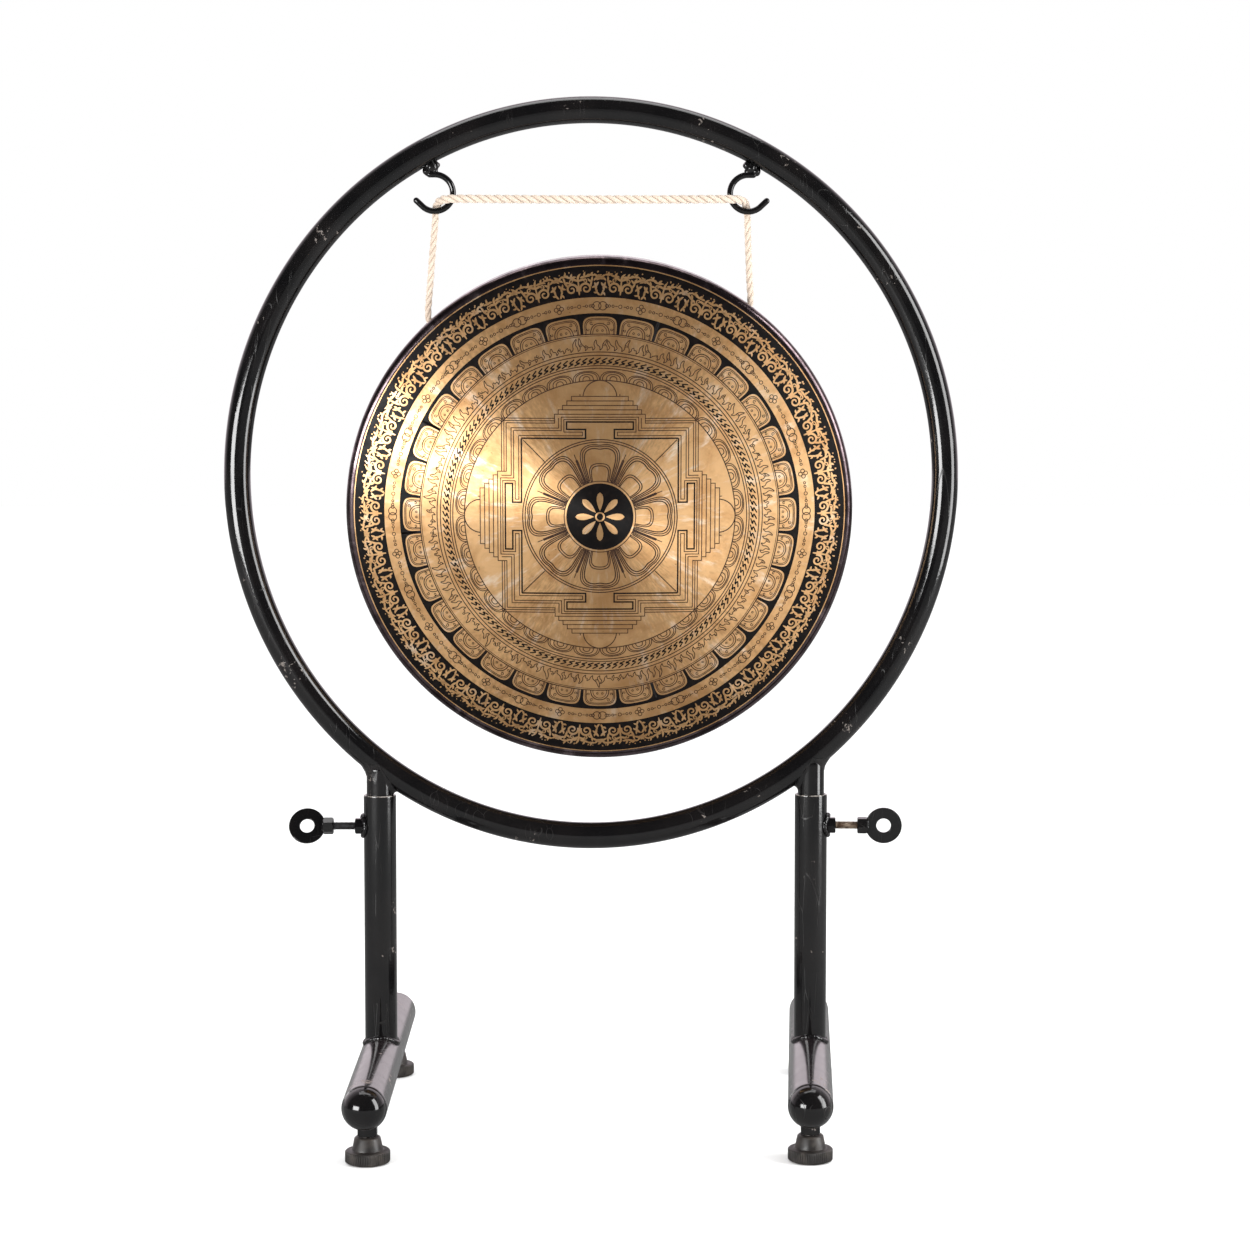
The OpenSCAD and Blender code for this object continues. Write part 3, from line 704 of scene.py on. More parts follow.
def weld_fillet(x_middle, side):
    """A fillet between a spigot and the hoop above it, widest along the hoop."""
    a = angles(64)
    along = np.abs(np.cos(a)) ** 1.6
    reach = 1.2 + along * np.where(np.cos(a) * side > 0, 8.5, 6.0)
    inner = TUBE_R - 1.2
    corner = hoop_heights(x_middle, TUBE_R + 0.4, a, 0.0)
    low, high = corner - 2.5 - along * 6.0, hoop_heights(x_middle, TUBE_R + reach, a, 0.8)
    wide = np.where(np.abs(np.cos(a)) > 0.2, TUBE_R + reach, TUBE_R + 1.2)
    rows = []
    for t in np.linspace(0, 1, 10):
        r = (1 - t) ** 2 * (TUBE_R - 0.2) + 2 * t * (1 - t) * (TUBE_R + 0.8) + t * t * wide
        z = (1 - t) ** 2 * low + 2 * t * (1 - t) * (corner - 0.5) + t * t * high
        rows.append((r, z))
    inside = np.full(len(a), inner)
    rows += [(inside, hoop_heights(x_middle, inner, a, 1.6)), (inside, low + 1.0)]
    points = np.stack([np.stack([x_middle + r * np.cos(a), np.minimum(r, TUBE_R + 0.9) * np.sin(a), z], -1)
                       for r, z in rows])
    return Shape().add(points, grid_faces(len(rows), len(a), True, True))


def make_hoop(m):
    add_piece("hoop_tube", sweep(oval(3.0), TUBE_R, 48, closed=True), m["black"], "hoop_frame", "black_paint",
              ("hoop",))
    for side, name in SIDES:
        x = POST_X[side]
        tube = long_tube(SPIGOT_BORE_R, TUBE_R, SPIGOT_LOW_Z, hoop_underside(x, 4.0), 0.6, 4.0, 64)
        points = tube.all_points()
        high = hoop_heights(x, TUBE_R, np.arctan2(points[:, 1], points[:, 0]), 2.0)
        points[:, 2] = np.minimum(points[:, 2], high)
        points[:, 0] += x
        tube.points = [points]
        add_piece(f"{name}_spigot_tube", tube, m["black"], "hoop_frame", "black_paint", (f"{name}_spigot",))
        bead = lumpy(weld_fillet(x, side), 0.45, 5.0, 11 + side)
        add_piece(f"{name}_spigot_bead", bead, m["weld"], "hoop_frame", "weld_paint",
                  (f"{name}_spigot_weld",), sharp=60)


HOOK_DROPS = (  # sideways, above the hook's middle, radius
    (-2.5, 24.5, 5.6), (-7.5, 21.0, 4.2), (1.5, 27.0, 3.8), (-5.5, 26.0, 4.6), (0.5, 21.6, 3.2))


def make_hooks(m):
    beads = Shape()
    for side, name in SIDES:
        bend = arc((0, 0), HOOK_R, 90, -135, 64)
        start = np.array([(-5.0, HOOK_R), (-2.5, HOOK_R)])
        way = (bend[-1] - bend[-2]) / np.linalg.norm(bend[-1] - bend[-2])
        tip = np.array([bend[-1] + way * (HOOK_TIP - HOOK_BAR_R) * k / 3 for k in (1, 2, 3)])
        flat = np.concatenate([start, bend, tip])
        # on the left the hook opens outwards; the right one is its mirror image
        x = side * HOOK_X - side * flat[:, 0]
        path = np.stack([x, 0 * x, HOOK_Z + flat[:, 1]], -1)
        add_piece(f"{name}_hook_bar", rounded_bar(path, HOOK_BAR_R, 24), m["black"], "hoop_frame",
                  "black_paint", (f"{name}_hook",))
        for k, (dx, dz, r) in enumerate(HOOK_DROPS):
            ball = lathe(arc((0, 0), r, -89.9, 89.9, 14), 24)
            lumpy(ball, 1.0, 3.4, 31 + 3 * k + side)
            beads.join(ball, shift(side * HOOK_X - side * dx, 0, HOOK_Z + dz))
    add_piece("hook_beads", beads, m["weld"], "hoop_frame", "weld_paint", ("hook_welds",), sharp=80)


# ---- legs ----

def leg_place(side):
    return shift(POST_X[side]) @ turn(LEG_TURN[side], "Z")


def clamp_place(side):
    return leg_place(side) @ shift(z=CLAMP_Z) @ turn(side * 90, "Y")


def round_path(r, steps, height):
    """A ring of points at radius r whose height is a function of x and y."""
    x, y = (r * unit(angles(steps))).T
    return np.stack([x, y, [height(*at) for at in zip(x, y)]], -1)


def piece_adder(name, m):
    """A short add_piece for one side or levelling foot, whose pieces, bodies and nodes start with its name."""
    def add(piece, shape, place, material, body, slot, node, **more):
        add_piece(f"{name}_{piece}", Shape().join(shape, place), m[material], f"{name}_{body}", slot,
                  (f"{name}_{node}",), **more)
    return add


def make_leg(side, name, m):
    add, at = piece_adder(name, m), leg_place(side)
    post = long_tube(POST_BORE_R, POST_R, FOOT_Z + 1.0, POST_TOP_Z, 0.7, 3.0, 64)
    add("post_tube", post, at, "post", "leg", "black_paint", "post")
    grow = 0.4
    saddle = round_path(POST_R + grow, 60, lambda x, y: FOOT_Z + bulge(FOOT_R, x) + grow)
    add("post_bead", weld_bead(saddle, 2.5, 41 + side, closed=True), at, "weld", "leg", "weld_paint",
        "post_weld", sharp=80)
    lie = shift(z=FOOT_Z) @ turn(90, "X")
    pipe = long_tube(FOOT_BORE_R, FOOT_R, -FOOT_REACH, FOOT_REACH, 0.8, 4.0, 72)
    add("foot_pipe", pipe, at @ lie, "foot", "leg", "foot_paint", "foot_tube")

    skirt, inner, skirt_end = FOOT_BORE_R - 0.02, FOOT_BORE_R - 2.5, -14.0
    cap = lathe(np.concatenate([
        arc((0, 0), BALL_R, 89.9, 3, 40),
        [(FOOT_BORE_R + 0.9, 0.35), (skirt, 0.1), (skirt, skirt_end), (inner, skirt_end)],
        arc((0, 0), inner, 0, 89.9, 16)]), 72)
    under_tube = round_path(10.6, 60, lambda x, y: FOOT_Z - bulge(FOOT_R, x) - 0.4)
    balls, nuts = Shape(), Shape()
    for end, _ in ENDS:
        balls.join(cap, at @ shift(0, end * (FOOT_REACH + 0.02), FOOT_Z) @ turn(end * -90, "X"))
        below = at @ shift(0, end * LEVEL_REACH)
        nuts.join(hexagon_nut(FOOT_NUT_FLATS, STUD_R + 0.05, FOOT_NUT_LOW_Z, FOOT_NUT_TOP_Z), below)
        nuts.join(weld_bead(under_tube, 1.7, 51 + side + 3 * end, closed=True), below)
    add("ball_caps", balls, None, "black", "leg", "black_paint", "foot_balls")
    add("foot_hexagons", nuts, None, "black", "leg", "black_paint", "foot_nuts")

    flange, plug, low, top = POST_BORE_R - 0.85, SPIGOT_BORE_R - 0.05, SPIGOT_LOW_Z, SPIGOT_LOW_Z + 24.0
    glide = np.concatenate([
        arc((flange, low - 7.2), 0.8, -90, 0, 4), arc((flange, low - 0.9), 0.8, 0, 90, 4),
        [(plug, low - 0.1), (plug, top - 1.5), (plug - 1.55, top), (0.01, top), (0.01, low - 8.0)]])
    add("nylon_glide", lathe(glide, 64), shift(POST_X[side]), "nylon", "glide", "nylon", "glide")


def make_clamp(side, name, m):
    """A clamp screw in its nut; Z runs outwards and the post's axis lies along X here."""
    add, at = piece_adder(name, m), clamp_place(side)
    nut = hexagon_nut(CLAMP_FLATS, ROD_R + 0.05, POST_R - 1.2, CLAMP_NUT_OUT)
    add("clamp_hexagon", nut, at, "black", "leg", "black_paint", "clamp_nut")
    seam = round_path(9.6, 48, lambda x, y: bulge(POST_R, y) + 0.8)
    add("clamp_bead", weld_bead(seam, 2.6, 61 + side, closed=True), at, "weld", "leg", "weld_paint",
        "clamp_weld", sharp=80)
    thread = threaded_rod(ROD_R, TUBE_R + 0.1, EYE_OUT - EYE_R - 0.2, ROD_PITCH)
    add("clamp_thread", thread, at, "bare_thread" if side == RIGHT else "black_thread", "clamp_screw",
        "bare_thread", "clamp_rod", sharp=60)
    rolled = at @ turn(EYE_ROLL[side], "Z")
    head = hexagon_nut(CLAMP_FLATS, ROD_R + 0.02, HEAD_IN, HEAD_OUT)
    for edge in (-1, 1):
        toe = [(x, edge * 2.4, HEAD_OUT + 0.2) for x in (-5.5, -2, 2, 5.5)]
        head.join(weld_bead(toe, 1.5, 71 + edge + side))
    add("clamp_head_hexagon", head, rolled, "weld", "clamp_screw", "black_paint", "clamp_head")
    washer = lathe(tube_profile(EYE_HOLE_R, EYE_R, -EYE_T / 2, EYE_T / 2, 0.6), 96)
    add("clamp_washer", washer, rolled @ shift(z=EYE_OUT) @ turn(90, "X"), "black", "clamp_screw",
        "black_paint", "clamp_eye")


def ribbed(r, z, a):
    """The knob's outside: fine ribs with rounded tops, which fade out at its edges."""
    ribs, depth = 56, 0.55
    on_side = (r > KNOB_R - 0.5) & (z > KNOB_LOW_Z + 0.7)
    wave = np.abs(np.sin(ribs / 2 * a)) ** 0.7
    return np.where(on_side, r - depth * (1 - wave), r)


def make_levelling_foot(side, end, name, m):
    add, at = piece_adder(name, m), leg_place(side) @ shift(0, end * LEVEL_REACH)
    stud = threaded_rod(STUD_R, STUD_LOW_Z, STUD_TOP_Z, STUD_PITCH)
    add("stud_thread", stud, at, "stud", "foot", "bare_thread", "stud", sharp=60)
    recess, bore, roof = PAD_R + 0.3, STUD_R + 0.02, PAD_H + 0.2
    low, top, peak = KNOB_LOW_Z, KNOB_TOP_Z, COLLAR_TOP_Z
    knob = np.concatenate([
        [(recess, low + 0.3), (recess + 0.3, low), (KNOB_R - 0.9, low), (KNOB_R - 0.3, low + 0.5)],
        [(KNOB_R, z) for z in np.linspace(low + 0.9, top - 1.0, 6)],
        arc((KNOB_R - 1.4, top - 1.0), 1.0, 20, 90, 5),
        [(KNOB_R - 3.5, top + 0.05), (COLLAR_R + 1.6, top + 0.1), (COLLAR_R + 0.3, top + 0.5),
         (COLLAR_R, top + 1.6), (COLLAR_TOP_R + 0.25, peak - 1.0), (COLLAR_TOP_R - 0.6, peak),
         (STUD_R + 0.6, peak), (bore, peak - 0.5), (bore, STUD_LOW_Z), (0.01, STUD_LOW_Z - 0.02),
         (0.01, roof), (recess, roof)]])
    add("ribbed_knob", lathe(knob, 448, ribbed), at, "knob", "foot", "knob_plastic", "knob", sharp=50)
    edge, bevel = PAD_R - 0.6, 0.6
    pad = np.concatenate([
        [(0.01, 0.0)], arc((edge, bevel), bevel, -90, 0, 4), arc((edge, PAD_H - bevel), bevel, 0, 90, 4),
        [(0.01, PAD_H)]])
    add("rubber_pad", lathe(pad, 72), at, "rubber", "pad", "pad_rubber", "pad")


# ---- gong ----

GONG_PLACE = shift(*GONG_AT) @ turn(90 + GONG_TILT, "X")


def dome(r):
    """Height of the face in front of the crease at radius r."""
    return DOME_H - DOME_R + np.sqrt(DOME_R ** 2 - np.minimum(r, CREASE_R) ** 2)


def make_gong(m):
    radii = np.linspace(0.01, CREASE_R, 84)
    face = np.stack([radii, dome(radii)], -1)
    shoulder = arc((CREASE_R, -SHOULDER_R), SHOULDER_R, 86, 0, 14)
    rim = [(GONG_R, z) for z in np.linspace(-SHOULDER_R - 3, -RIM_DEPTH + 0.7, 9)]
    lip = arc((GONG_R - SHEET / 2, -RIM_DEPTH + 0.7), SHEET / 2, 0, -180, 8)
    inside = [(GONG_R - SHEET, z) for z in np.linspace(-RIM_DEPTH + 1.5, -SHOULDER_R, 8)]
    turn_in = arc((CREASE_R, -SHOULDER_R), SHOULDER_R - SHEET, 8, 84, 10)
    back_radii = np.linspace(CREASE_R - 1.0, 0.01, 60)
    back = np.stack([back_radii, dome(back_radii) - SHEET], -1)
    shape = lathe(np.concatenate([face, shoulder, rim, lip, inside, turn_in, back]), 360)
    gong = add_piece("gong_shell", shape, m["face"], None, "gong_bronze", sharp=30, place=GONG_PLACE)
    drill_rope_holes(gong)
    gong.data.materials.append(m["rim"])
    gong.data.materials.append(m["back"])
    for face in gong.data.polygons:
        x, y, z = (c / MM for c in face.center)
        r = math.hypot(x, y)
        if r < CREASE_R:
            depth = dome(r) - z
        elif z > -SHOULDER_R:
            depth = SHOULDER_R - math.hypot(r - CREASE_R, z + SHOULDER_R)
        else:
            depth = GONG_R - r
        face.material_index = 2 if depth > SHEET * 0.7 else 1 if r > CREASE_R - 0.3 else 0
    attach(gong, "gong")
    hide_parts("gong")


def drill_rope_holes(gong):
    cutters = Shape()
    for angle in HOLE_ANGLES:
        drill = lathe(tube_profile(0.01, HOLE_R, 0, 40, 0.005), 48)
        cutters.join(drill, turn(angle, "Z") @ shift(0, CREASE_R - 20, -HOLE_DEPTH) @ turn(-90, "X"))
    mesh = bpy.data.meshes.new("rope_hole_drill")
    mesh.from_pydata((cutters.all_points() * MM).tolist(), [], cutters.faces)
    drill = bpy.data.objects.new("rope_hole_drill", mesh)
    bpy.context.scene.collection.objects.link(drill)
    drill.matrix_world = gong.matrix_world
    cut = gong.modifiers.new("rope_holes", "BOOLEAN")
    cut.operation, cut.solver, cut.object = "DIFFERENCE", "EXACT", drill
    bpy.context.view_layer.update()
    evaluated = gong.evaluated_get(bpy.context.evaluated_depsgraph_get())
    drilled = bpy.data.meshes.new_from_object(evaluated)
    gong.modifiers.clear()
    gong.data = drilled
    bpy.data.objects.remove(drill)


# ---- ornament of the gong: closed plates on its dome, drawn in the plane of the crease ----

def polar(r, a):
    """Points at radius r and angle a, in degrees from the top, clockwise."""
    a = np.radians(np.asarray(a, float))
    r = np.asarray(r, float)
    return np.stack([r * np.sin(a), r * np.cos(a)], -1)


LINE_PEN = 1.7


class Inlay:
    """Closed plates that stand a little proud of the dome. pen multiplies the width of every stroke."""

    def __init__(self, top, pen=1.0):
        self.top, self.low, self.pen, self.shape = top, -0.25, pen, Shape()

    def lift(self, flat, height):
        r = np.hypot(flat[..., 0], flat[..., 1])
        return np.concatenate([flat, (dome(r) + height)[..., None]], -1)

    def plate(self, rows, closed=False):
        """A plate whose top is a grid of points in the plane; rows may close on themselves."""
        rows = np.asarray(rows, float)
        n, m = rows.shape[:2]
        top, low = self.lift(rows, self.top), self.lift(rows, self.low)
        faces = grid_faces(n, m, wrap_rows=closed)
        under = [[i + n * m for i in reversed(face)] for face in faces]
        edges = [([row * m + column for row in range(n)], column > 0) for column in (0, m - 1)]
        if closed:
            edges = [(edge + edge[:1], flip) for edge, flip in edges]
        else:
            edges += [([row * m + column for column in range(m)], row == 0) for row in (0, n - 1)]
        walls = []
        for edge, flip in edges:
            for i, j in zip(edge, edge[1:]):
                wall = [i, j, j + n * m, i + n * m]
                walls.append(wall[::-1] if flip else wall)
        self.shape.add(np.concatenate([top.reshape(-1, 3), low.reshape(-1, 3)]), faces + under + walls)

    def line(self, points, width, closed=False):
        """A stroke along points, of one width or one width per point."""
        p = np.asarray(points, float)
        way = np.roll(p, -1, 0) - np.roll(p, 1, 0) if closed else np.gradient(p, axis=0)
        way = way / np.maximum(np.linalg.norm(way, axis=1), 1e-9)[:, None]
        half = (np.broadcast_to(width, len(p)) * self.pen / 2)[:, None]
        side = np.stack([-way[:, 1], way[:, 0]], -1) * half
        self.plate(np.stack([p + side, p - side], 1), closed)

    def corners(self, points, width):
        """A stroke with mitred corners along straight runs."""
        p = np.asarray(points, float)
        runs = normalised(np.diff(p, axis=0))
        before, after = np.concatenate([runs[:1], runs]), np.concatenate([runs, runs[-1:]])
        side = normalised(np.stack([-(before + after)[:, 1], (before + after)[:, 0]], -1))
        lean = np.maximum(0.3, side[:, 0] * -after[:, 1] + side[:, 1] * after[:, 0])
        side = side * (width * self.pen / 2 / lean)[:, None]
        rows = np.stack([p + side, p - side], 1)
        cut = [rows[0]]
        for a, b in zip(rows, rows[1:]):
            count = max(1, int(np.linalg.norm((b - a).mean(0)) / 8))
            cut += [a + (b - a) * k / count for k in range(1, count + 1)]
        self.plate(np.array(cut))

    def ring(self, r, width, steps=300):
        a = np.arange(steps) * 360 / steps
        width = width * self.pen
        columns = max(2, int(width / 8) + 2)
        radii = r + np.linspace(width / 2, -width / 2, columns)
        self.plate(np.stack([polar(k, a) for k in radii], 1), closed=True)

    def circle(self, centre, r, width, steps=14):
        self.line(np.asarray(centre) + r * unit(angles(steps)), width, closed=True)

    def dot(self, centre, r, steps=10):
        rim = np.asarray(centre) + r * unit(angles(steps))
        self.plate(np.stack([rim, rim * 0.02 + np.asarray(centre) * 0.98], 1), closed=True)

    def leaf(self, base, heading, length, width, bend, steps=6):
        """A tapered leaf from base; heading in degrees from +X, bend the change of heading along it."""
        t = np.linspace(0, 1, steps)
        a = np.radians(heading + bend * t)
        way = np.cumsum(unit(a[:-1]) * length / (steps - 1), axis=0)
        spine = np.asarray(base) + np.concatenate([[(0, 0)], way])
        self.line(spine, width * np.maximum(0.08, np.sin(math.pi * (0.12 + 0.86 * t)) ** 0.8))

    def spiral(self, centre, r, start, turns, width, steps=30):
        """A volute that winds inwards from radius r."""
        t = np.linspace(0, 1, steps)
        arm = (r * (1 - 0.86 * t))[:, None] * unit(np.radians(start + 360 * turns * t))
        self.line(np.asarray(centre) + arm, width * (1 - 0.45 * t))

    def finish(self, name, material):
        add_piece(name, self.shape, material, "gong", "gong_bronze", sharp=40, place=GONG_PLACE)


def petal_edge(middle, half, low, high, power, steps):
    """The scalloped outline of a petal in a ring: angle and radius from one foot to the other."""
    u = -np.cos(np.linspace(0, math.pi, steps))
    return middle + half * u, low + (high - low) * np.maximum(0.0, 1 - np.abs(u) ** power) ** (1 / power)


def petal_line(inlay, middle, half, low, high, power, width, steps=20):
    a, r = petal_edge(middle, half, low, high, power, steps)
    inlay.line(polar(r, a), width)


def heading_at(a, local):
    """Heading in degrees from +X of a direction given from the outward radius at angle a."""
    return 90 - a + local


def leaf_fan(gold, draw, root, outward, first, last, count, length, width):
    """Leaves that spread from one root, from heading first to last, counted from outward."""
    for local in np.linspace(first, last, count):
        bend = draw.uniform(25, 80) * (1 if local > (first + last) / 2 else -1)
        gold.leaf(root, outward + local + draw.uniform(-9, 9), length * draw.uniform(0.85, 1.12), width, bend)


def draw_scrolls(gold, draw):
    """Paired volutes under crowns of leaves, in gold on a black ring."""
    cells, low = 34, 214.0
    # place across a cell in degrees, height in the band, fan from and to, leaves, their length and width
    fans = [(1.6, 17.6, -70, 60, 3, 5.2, 2.1), (3.2, 19.0, -60, 60, 3, 4.4, 2.0),
            (4.8, 16.6, -90, 90, 4, 5.6, 2.1), (3.4, 13.4, -140, -10, 3, 5.4, 2.1),
            (4.5, 8.8, -160, 10, 4, 4.8, 2.1), (4.7, 3.0, -190, -30, 3, 4.4, 1.9)]
    for k in range(cells):
        a = (k + 0.5) * 360 / cells
        gold.line(polar([low + 0.8, low + 4.5, low + 9.0, low + 14.5], a), [1.0, 1.9, 1.9, 1.3])
        leaf_fan(gold, draw, polar(low + 14.0, a), heading_at(a, 0), -55, 55, 3, 8.0, 2.3)
        for hand in (LEFT, RIGHT):
            large, small = polar(low + 6.8, a + hand * 1.8), polar(low + 14.6, a + hand * 1.6)
            gold.spiral(large, 5.9, heading_at(a, hand * 112), -hand * 1.45, 2.3)
            gold.spiral(small, 2.4, heading_at(a, hand * 170), hand * 1.2, 1.25, 18)
            for place, height, first, last, count, length, width in fans:
                leaf_fan(gold, draw, polar(low + height, a + hand * place), heading_at(a + hand * place, 0),
                         -hand * first, -hand * last, count, length, width)
        for _ in range(6):
            at = polar(low + draw.uniform(21.5, 23.6), a + draw.uniform(-5.2, 5.2))
            gold.dot(at, draw.uniform(0.5, 0.9), 7)


def smooth_flat(points):
    flat = np.asarray(points, float)
    return smooth_path(np.concatenate([flat, np.zeros((len(flat), 1))], 1), 1.2)[:, :2]


def draw_bead_chain(lines):
    """A fine chain of small rings, crosses and interlaced loops."""
    middle, cells = 204.0, 32
    for k in range(cells):
        a = k * 360 / cells
        if k % 2:
            for b in (0, 90, 180, 270):
                lines.circle(polar(middle, a) + polar(2.7, b + a), 1.9, 0.45, 10)
            lines.circle(polar(middle, a), 1.0, 0.45, 8)
        else:
            for b in (-0.8, 0.8):
                lines.circle(polar(middle, a + b), 4.0, 0.5, 18)
                lines.circle(polar(middle, a + b * 2.4), 1.6, 0.45, 10)
        for b in (2.6, 3.6, 5.6, 7.6, 8.6):
            lines.circle(polar(middle, a + b), 1.15 if b != 5.6 else 1.7, 0.45, 9)
        for b in (4.2, 6.5):
            lines.line(polar(middle, np.array([a + b, a + b + 0.35, a + b + 0.7])), 0.45)


def draw_great_petals(lines, ground):
    """Black ring cut by 32 gold petals with double outlines and small curls."""
    count, low, high, outer, square = 32, 177.0, 193.8, 197.0, 4.6
    half = 180 / count
    wide = half * 0.92
    for k in range(count):
        middle = k * 2 * half
        a, r = petal_edge(middle, wide, low, high, square, 26)
        a = np.concatenate([[middle - half], a, [middle + half]])
        r = np.concatenate([[low], r, [low]])
        ground.plate(np.stack([polar(r + (outer - r) * t, a) for t in (1.0, 0.5, 0.0)], 1))
        for inset, width in ((1.9, 0.45), (3.1, 0.4)):
            petal_line(lines, middle, wide - inset * 0.3, low, high - inset, square, width)
        petal_line(lines, middle, half * 0.52, low, high - 6.6, 2.2, 0.55, 14)
        petal_line(lines, middle, half * 0.40, low, high - 8.4, 2.2, 0.4, 12)
        for hand in (LEFT, RIGHT):
            upper, lower = polar(low + 10.8, middle + hand * 2.55), polar(low + 4.6, middle + hand * 3.55)
            lines.spiral(upper, 1.9, heading_at(middle, hand * 120), hand * 1.2, 0.5, 12)
            lines.spiral(lower, 1.6, heading_at(middle, -hand * 60), -hand * 1.1, 0.5, 10)
            lines.circle(polar(low + 3.4, middle + hand * 0.8), 0.9, 0.4, 8)


def draw_flames(lines, draw):
    """A thin irregular outline of tongues of fire."""
    tongues, low, high = 144, 161.5, 174.5
    cell = 360 / tongues
    for k in range(tongues):
        a = k * cell
        tall = (high - low) * draw.uniform(0.35, 1.0)
        lean = draw.uniform(-0.5, 0.5)
        rise = np.array([0.0, 2.5, tall * 0.6, tall, tall * 0.55, 3.2, 0.0])
        across = np.array([0.0, 0.34, 0.22 + lean * 0.4, 0.5 + lean, 0.62 + lean * 0.3, 0.98, 1.0])
        lines.line(smooth_flat(polar(low + rise, a + cell * across)), 0.5)
        if k % 3 == 0:
            lines.spiral(polar(low + 5.2, a + cell * 0.5), 1.5, draw.uniform(0, 360), 1.1, 0.45, 10)


def draw_thunder_chain(lines, ground):
    """A dense dark chain of slanted leaves between double lines."""
    for r in (159.9, 156.6, 146.8, 144.3):
        lines.ring(r, 0.55)
    radii, across = [148.3, 150.6, 151.2, 154.4], np.array([0.0, 1.9, 0.7, 2.7])
    count = 150
    for k in range(count):
        a = k * 360 / count
        ground.line(smooth_flat(polar(radii, a + across)), 1.25)
        ground.leaf(polar(149.2, a + 1.5), heading_at(a, -60), 2.8, 1.1, 60, 5)


def draw_small_petals(lines):
    """A ring of small nested petals."""
    count, low, high = 32, 133.4, 141.8
    half = 180 / count
    for k in range(count):
        middle = (k + 0.5) * 2 * half
        for share, drop in ((0.97, 0.0), (0.82, 1.1), (0.52, 2.9), (0.26, 4.9)):
            petal_line(lines, middle, half * share, low, high - drop, 2.4, 0.5, 14)


def draw_palace(lines, ground):
    """A square court with four T-shaped gates and stepped gables."""
    stem, bar, porch, thin = 14.0, 32.5, 44.2, 0.5
    # each list is half of one side of a wall, from its corner inwards
    outline = [(76.6, 76.6), (stem, 76.6), (stem, 85.4), (bar, 85.4), (bar, 92.6), (0, 92.6)]
    walls = [
        [(79.2, 79.2), (stem + 3, 79.2), (stem + 3, 82.8), (bar + 2.6, 82.8), (bar + 2.6, 95.0), (0, 95.0)],
        [(84.2, 84.2), (bar + 5.2, 84.2), (bar + 5.2, 97.2), (0, 97.2)],
        [(86.6, 86.6), (bar + 7.8, 86.6), (bar + 7.8, 96.4)],
        [(91.4, 91.4), (porch, 91.4), (porch, 100.0), (0, 100.0)],
        [(93.6, 93.6), (porch, 93.6)], [(96.0, 96.0), (porch, 96.0)]]
    for x, low in ((40.6, 100.0), (36.4, 104.2), (32.2, 108.6), (27.6, 113.0)):
        walls.append([(x, low), (x, low + 4.3), (0, low + 4.3)])
    walls.append([(19.4, 117.3), (19.4, 119.6)])
    for quarter in range(4):
        c, s = round(math.cos(quarter * math.pi / 2)), round(math.sin(quarter * math.pi / 2))

        def put(points, hand):
            x, y = np.asarray(points, float).T
            return np.stack([c * hand * x - s * y, s * hand * x + c * y], -1)

        for hand in (LEFT, RIGHT):
            ground.corners(put(outline, hand), 1.5)
            for wall in walls:
                lines.corners(put(wall, hand), thin)
            lines.line(put(arc((0, 116.4), 16.4, 90, 4, 18), hand), 0.6)
        lines.corners(put([(75.2, 75.2), (54.0, 54.0)], RIGHT), 0.55)


def draw_lotus(lines):
    """Eight petals in a double circle, each with a smaller one inside and ribs between."""
    for r, width in ((75.6, 0.6), (73.2, 0.6), (35.0, 0.5)):
        lines.ring(r, width, 180)
    notched = ((19.6, 35, 71.2, 4.2, 0.6), (17.9, 35, 69.6, 4.2, 0.6), (16.0, 36, 67.4, 4.4, 0.7))
    plain = ((13.6, 35, 52.2, 3.4, 0.6), (11.6, 35, 50.0, 3.4, 0.6))
    for k in range(8):
        middle = k * 45.0
        for petals, notch in ((notched, 1.1), (plain, 0.0)):
            for half, low, high, power, width in petals:
                a, r = petal_edge(middle, half, low, high, power, 40)
                lines.line(polar(r - notch * np.exp(-((a - middle) / 3.4) ** 2), a), width)
        for offset in (-1.5, 0.0, 1.5):
            spread = middle + 22.5 + offset * np.linspace(0.9, 0.5, 6)
            lines.line(polar(np.linspace(35.5, 66.0 - abs(offset) * 4, 6), spread), 0.5)


def draw_rosette(gold):
    """A plain rosette of eight petals in the middle of the centre disc."""
    radii = [6.0, 9.0, 12.5, 16.0, 19.4, 22.2, 24.0]
    widths = 1.5 * np.array([0.2, 1.9, 3.4, 4.3, 4.2, 2.9, 0.15])
    for k in range(8):
        gold.line(polar(radii, k * 45.0), widths)
    gold.ring(4.0, 1.6, 32)


def make_ornament(m):
    """The ornament's plates. The scrolls and then the flames take their numbers from one generator."""
    draw = random.Random(5)
    ground, gold, lines = Inlay(0.06), Inlay(0.12), Inlay(0.07, LINE_PEN)
    rings = Inlay(0.06)
    rings.ring(227.2, 30.0, 360)
    for r, width in ((177.0, 0.6), (132.8, 0.6), (175.4, 0.35)):
        lines.ring(r, width)
    a = np.arange(180) * 2.0
    rings.plate(np.stack([polar(r, a) for r in (32.8, 24.0, 16.0, 8.0, 0.05)], 1), closed=True)
    rings.finish("black_rings", m["ground"])
    draw_scrolls(gold, draw)
    draw_rosette(gold)
    gold.ring(CREASE_R - 0.6, 0.8, 360)
    gold.finish("gold_scrolls", m["face"])
    details = Inlay(0.07, LINE_PEN)
    draw_bead_chain(details)
    draw_great_petals(details, ground)
    draw_flames(details, draw)
    details.finish("petal_lines", m["line"])
    draw_thunder_chain(lines, ground)
    draw_small_petals(lines)
    draw_palace(lines, ground)
    draw_lotus(lines)
    lines.finish("court_lines", m["line"])
    ground.finish("black_figures", m["ground"])


# ---- floor and light ----

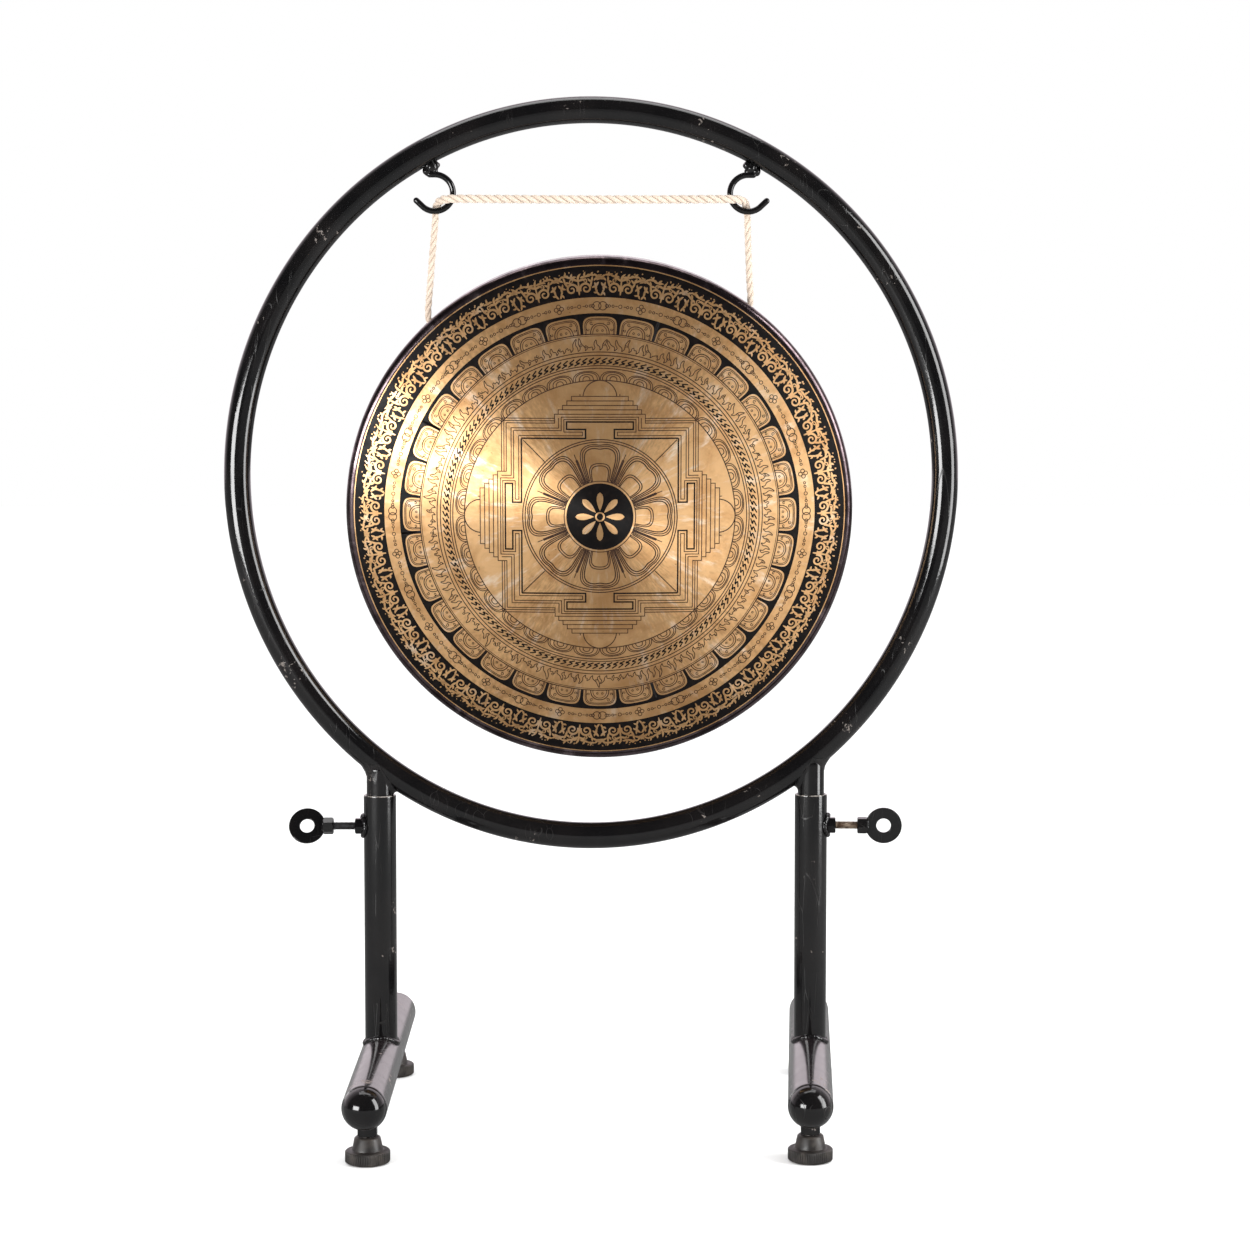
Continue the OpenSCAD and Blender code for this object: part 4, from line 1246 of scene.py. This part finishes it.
ROOM_FILL, ROOM_DARK, ROOM_WALL = 1.3, 0.05, 1.25
ROOM_TINT = (1.0, 0.90, 0.95)
FLOOR_MIRRORED = 0.22


def make_stage():
    size = 30.0
    mesh = bpy.data.meshes.new("floor")
    corners = [(x * size, y * size, 0) for x, y in ((-1, -1), (1, -1), (1, 1), (-1, 1))]
    mesh.from_pydata(corners, [], [(0, 1, 2, 3)])
    floor = bpy.data.objects.new("floor", mesh)
    bpy.context.scene.collection.objects.link(floor)
    n = Surface("pale_floor")
    pale = n.mix(n.noise(0.5, 3.0), (0.86, 0.86, 0.86), (0.89, 0.89, 0.89))
    glossy = n.add("ShaderNodeLightPath").outputs["Is Glossy Ray"]
    n.set(Base_Color=n.mix(glossy, pale, (FLOOR_MIRRORED,) * 3), Roughness=0.8, Specular_IOR_Level=0.0)
    mesh.materials.append(n.material)


def area_light(name, location, aim, width, height, power):
    data = bpy.data.lights.new(name, "AREA")
    data.shape, data.size, data.size_y, data.energy = "RECTANGLE", width, height, power
    light = bpy.data.objects.new(name, data)
    light.location = location
    light.visible_camera = False
    light.rotation_euler = (Vector(aim) - Vector(location)).to_track_quat("-Z", "Y").to_euler()
    bpy.context.scene.collection.objects.link(light)


def make_light():
    foot, gong = (-0.2, -0.2, 0.1), (0.0, 0.0, 0.6)
    area_light("softbox_left", (-1.90, -2.20, 0.60), foot, 1.5, 0.85, 75)
    area_light("softbox_right", (2.05, -0.75, 1.10), gong, 0.9, 2.4, 68)
    area_light("softbox_top", (0.0, 0.6, 3.2), gong, 2.6, 1.2, 30)
    bpy.context.scene.view_settings.view_transform = "Standard"
    world = bpy.data.worlds.new("studio")
    bpy.context.scene.world = world
    n = Nodes(world)

    def between(value, low, high, full=1.0):
        inputs = {"Value": value, "From Min": 0.0, "From Max": full, "To Min": low, "To Max": high}
        return n.add("ShaderNodeMapRange", inputs).outputs[0]

    # a white room to the eye and to matt surfaces; gloss mirrors a dark room with a pale wall behind
    path = n.add("ShaderNodeLightPath").outputs
    behind = n.split(n.add("ShaderNodeTexCoord").outputs["Generated"])["Y"]
    mirrored = between(behind, ROOM_DARK, ROOM_WALL, full=0.75)
    plain = between(path["Is Camera Ray"], ROOM_FILL, 1.0)
    background = n.tree.nodes["Background"].inputs
    n.link(between(path["Is Glossy Ray"], plain, mirrored), background["Strength"])
    n.link(n.mix(path["Is Glossy Ray"], (1.0, 1.0, 1.0), ROOM_TINT), background["Color"])


# ---- assembly ----

make_camera()
materials = make_materials()
make_rope(materials["rope"])
make_hoop(materials)
make_hooks(materials)
for leg_side, leg_name in SIDES:
    make_leg(leg_side, leg_name, materials)
    make_clamp(leg_side, leg_name, materials)
    for foot_end, end_name in ENDS:
        make_levelling_foot(leg_side, foot_end, f"{end_name}_{leg_name}", materials)
make_gong(materials)
make_ornament(materials)
make_stage()
make_light()
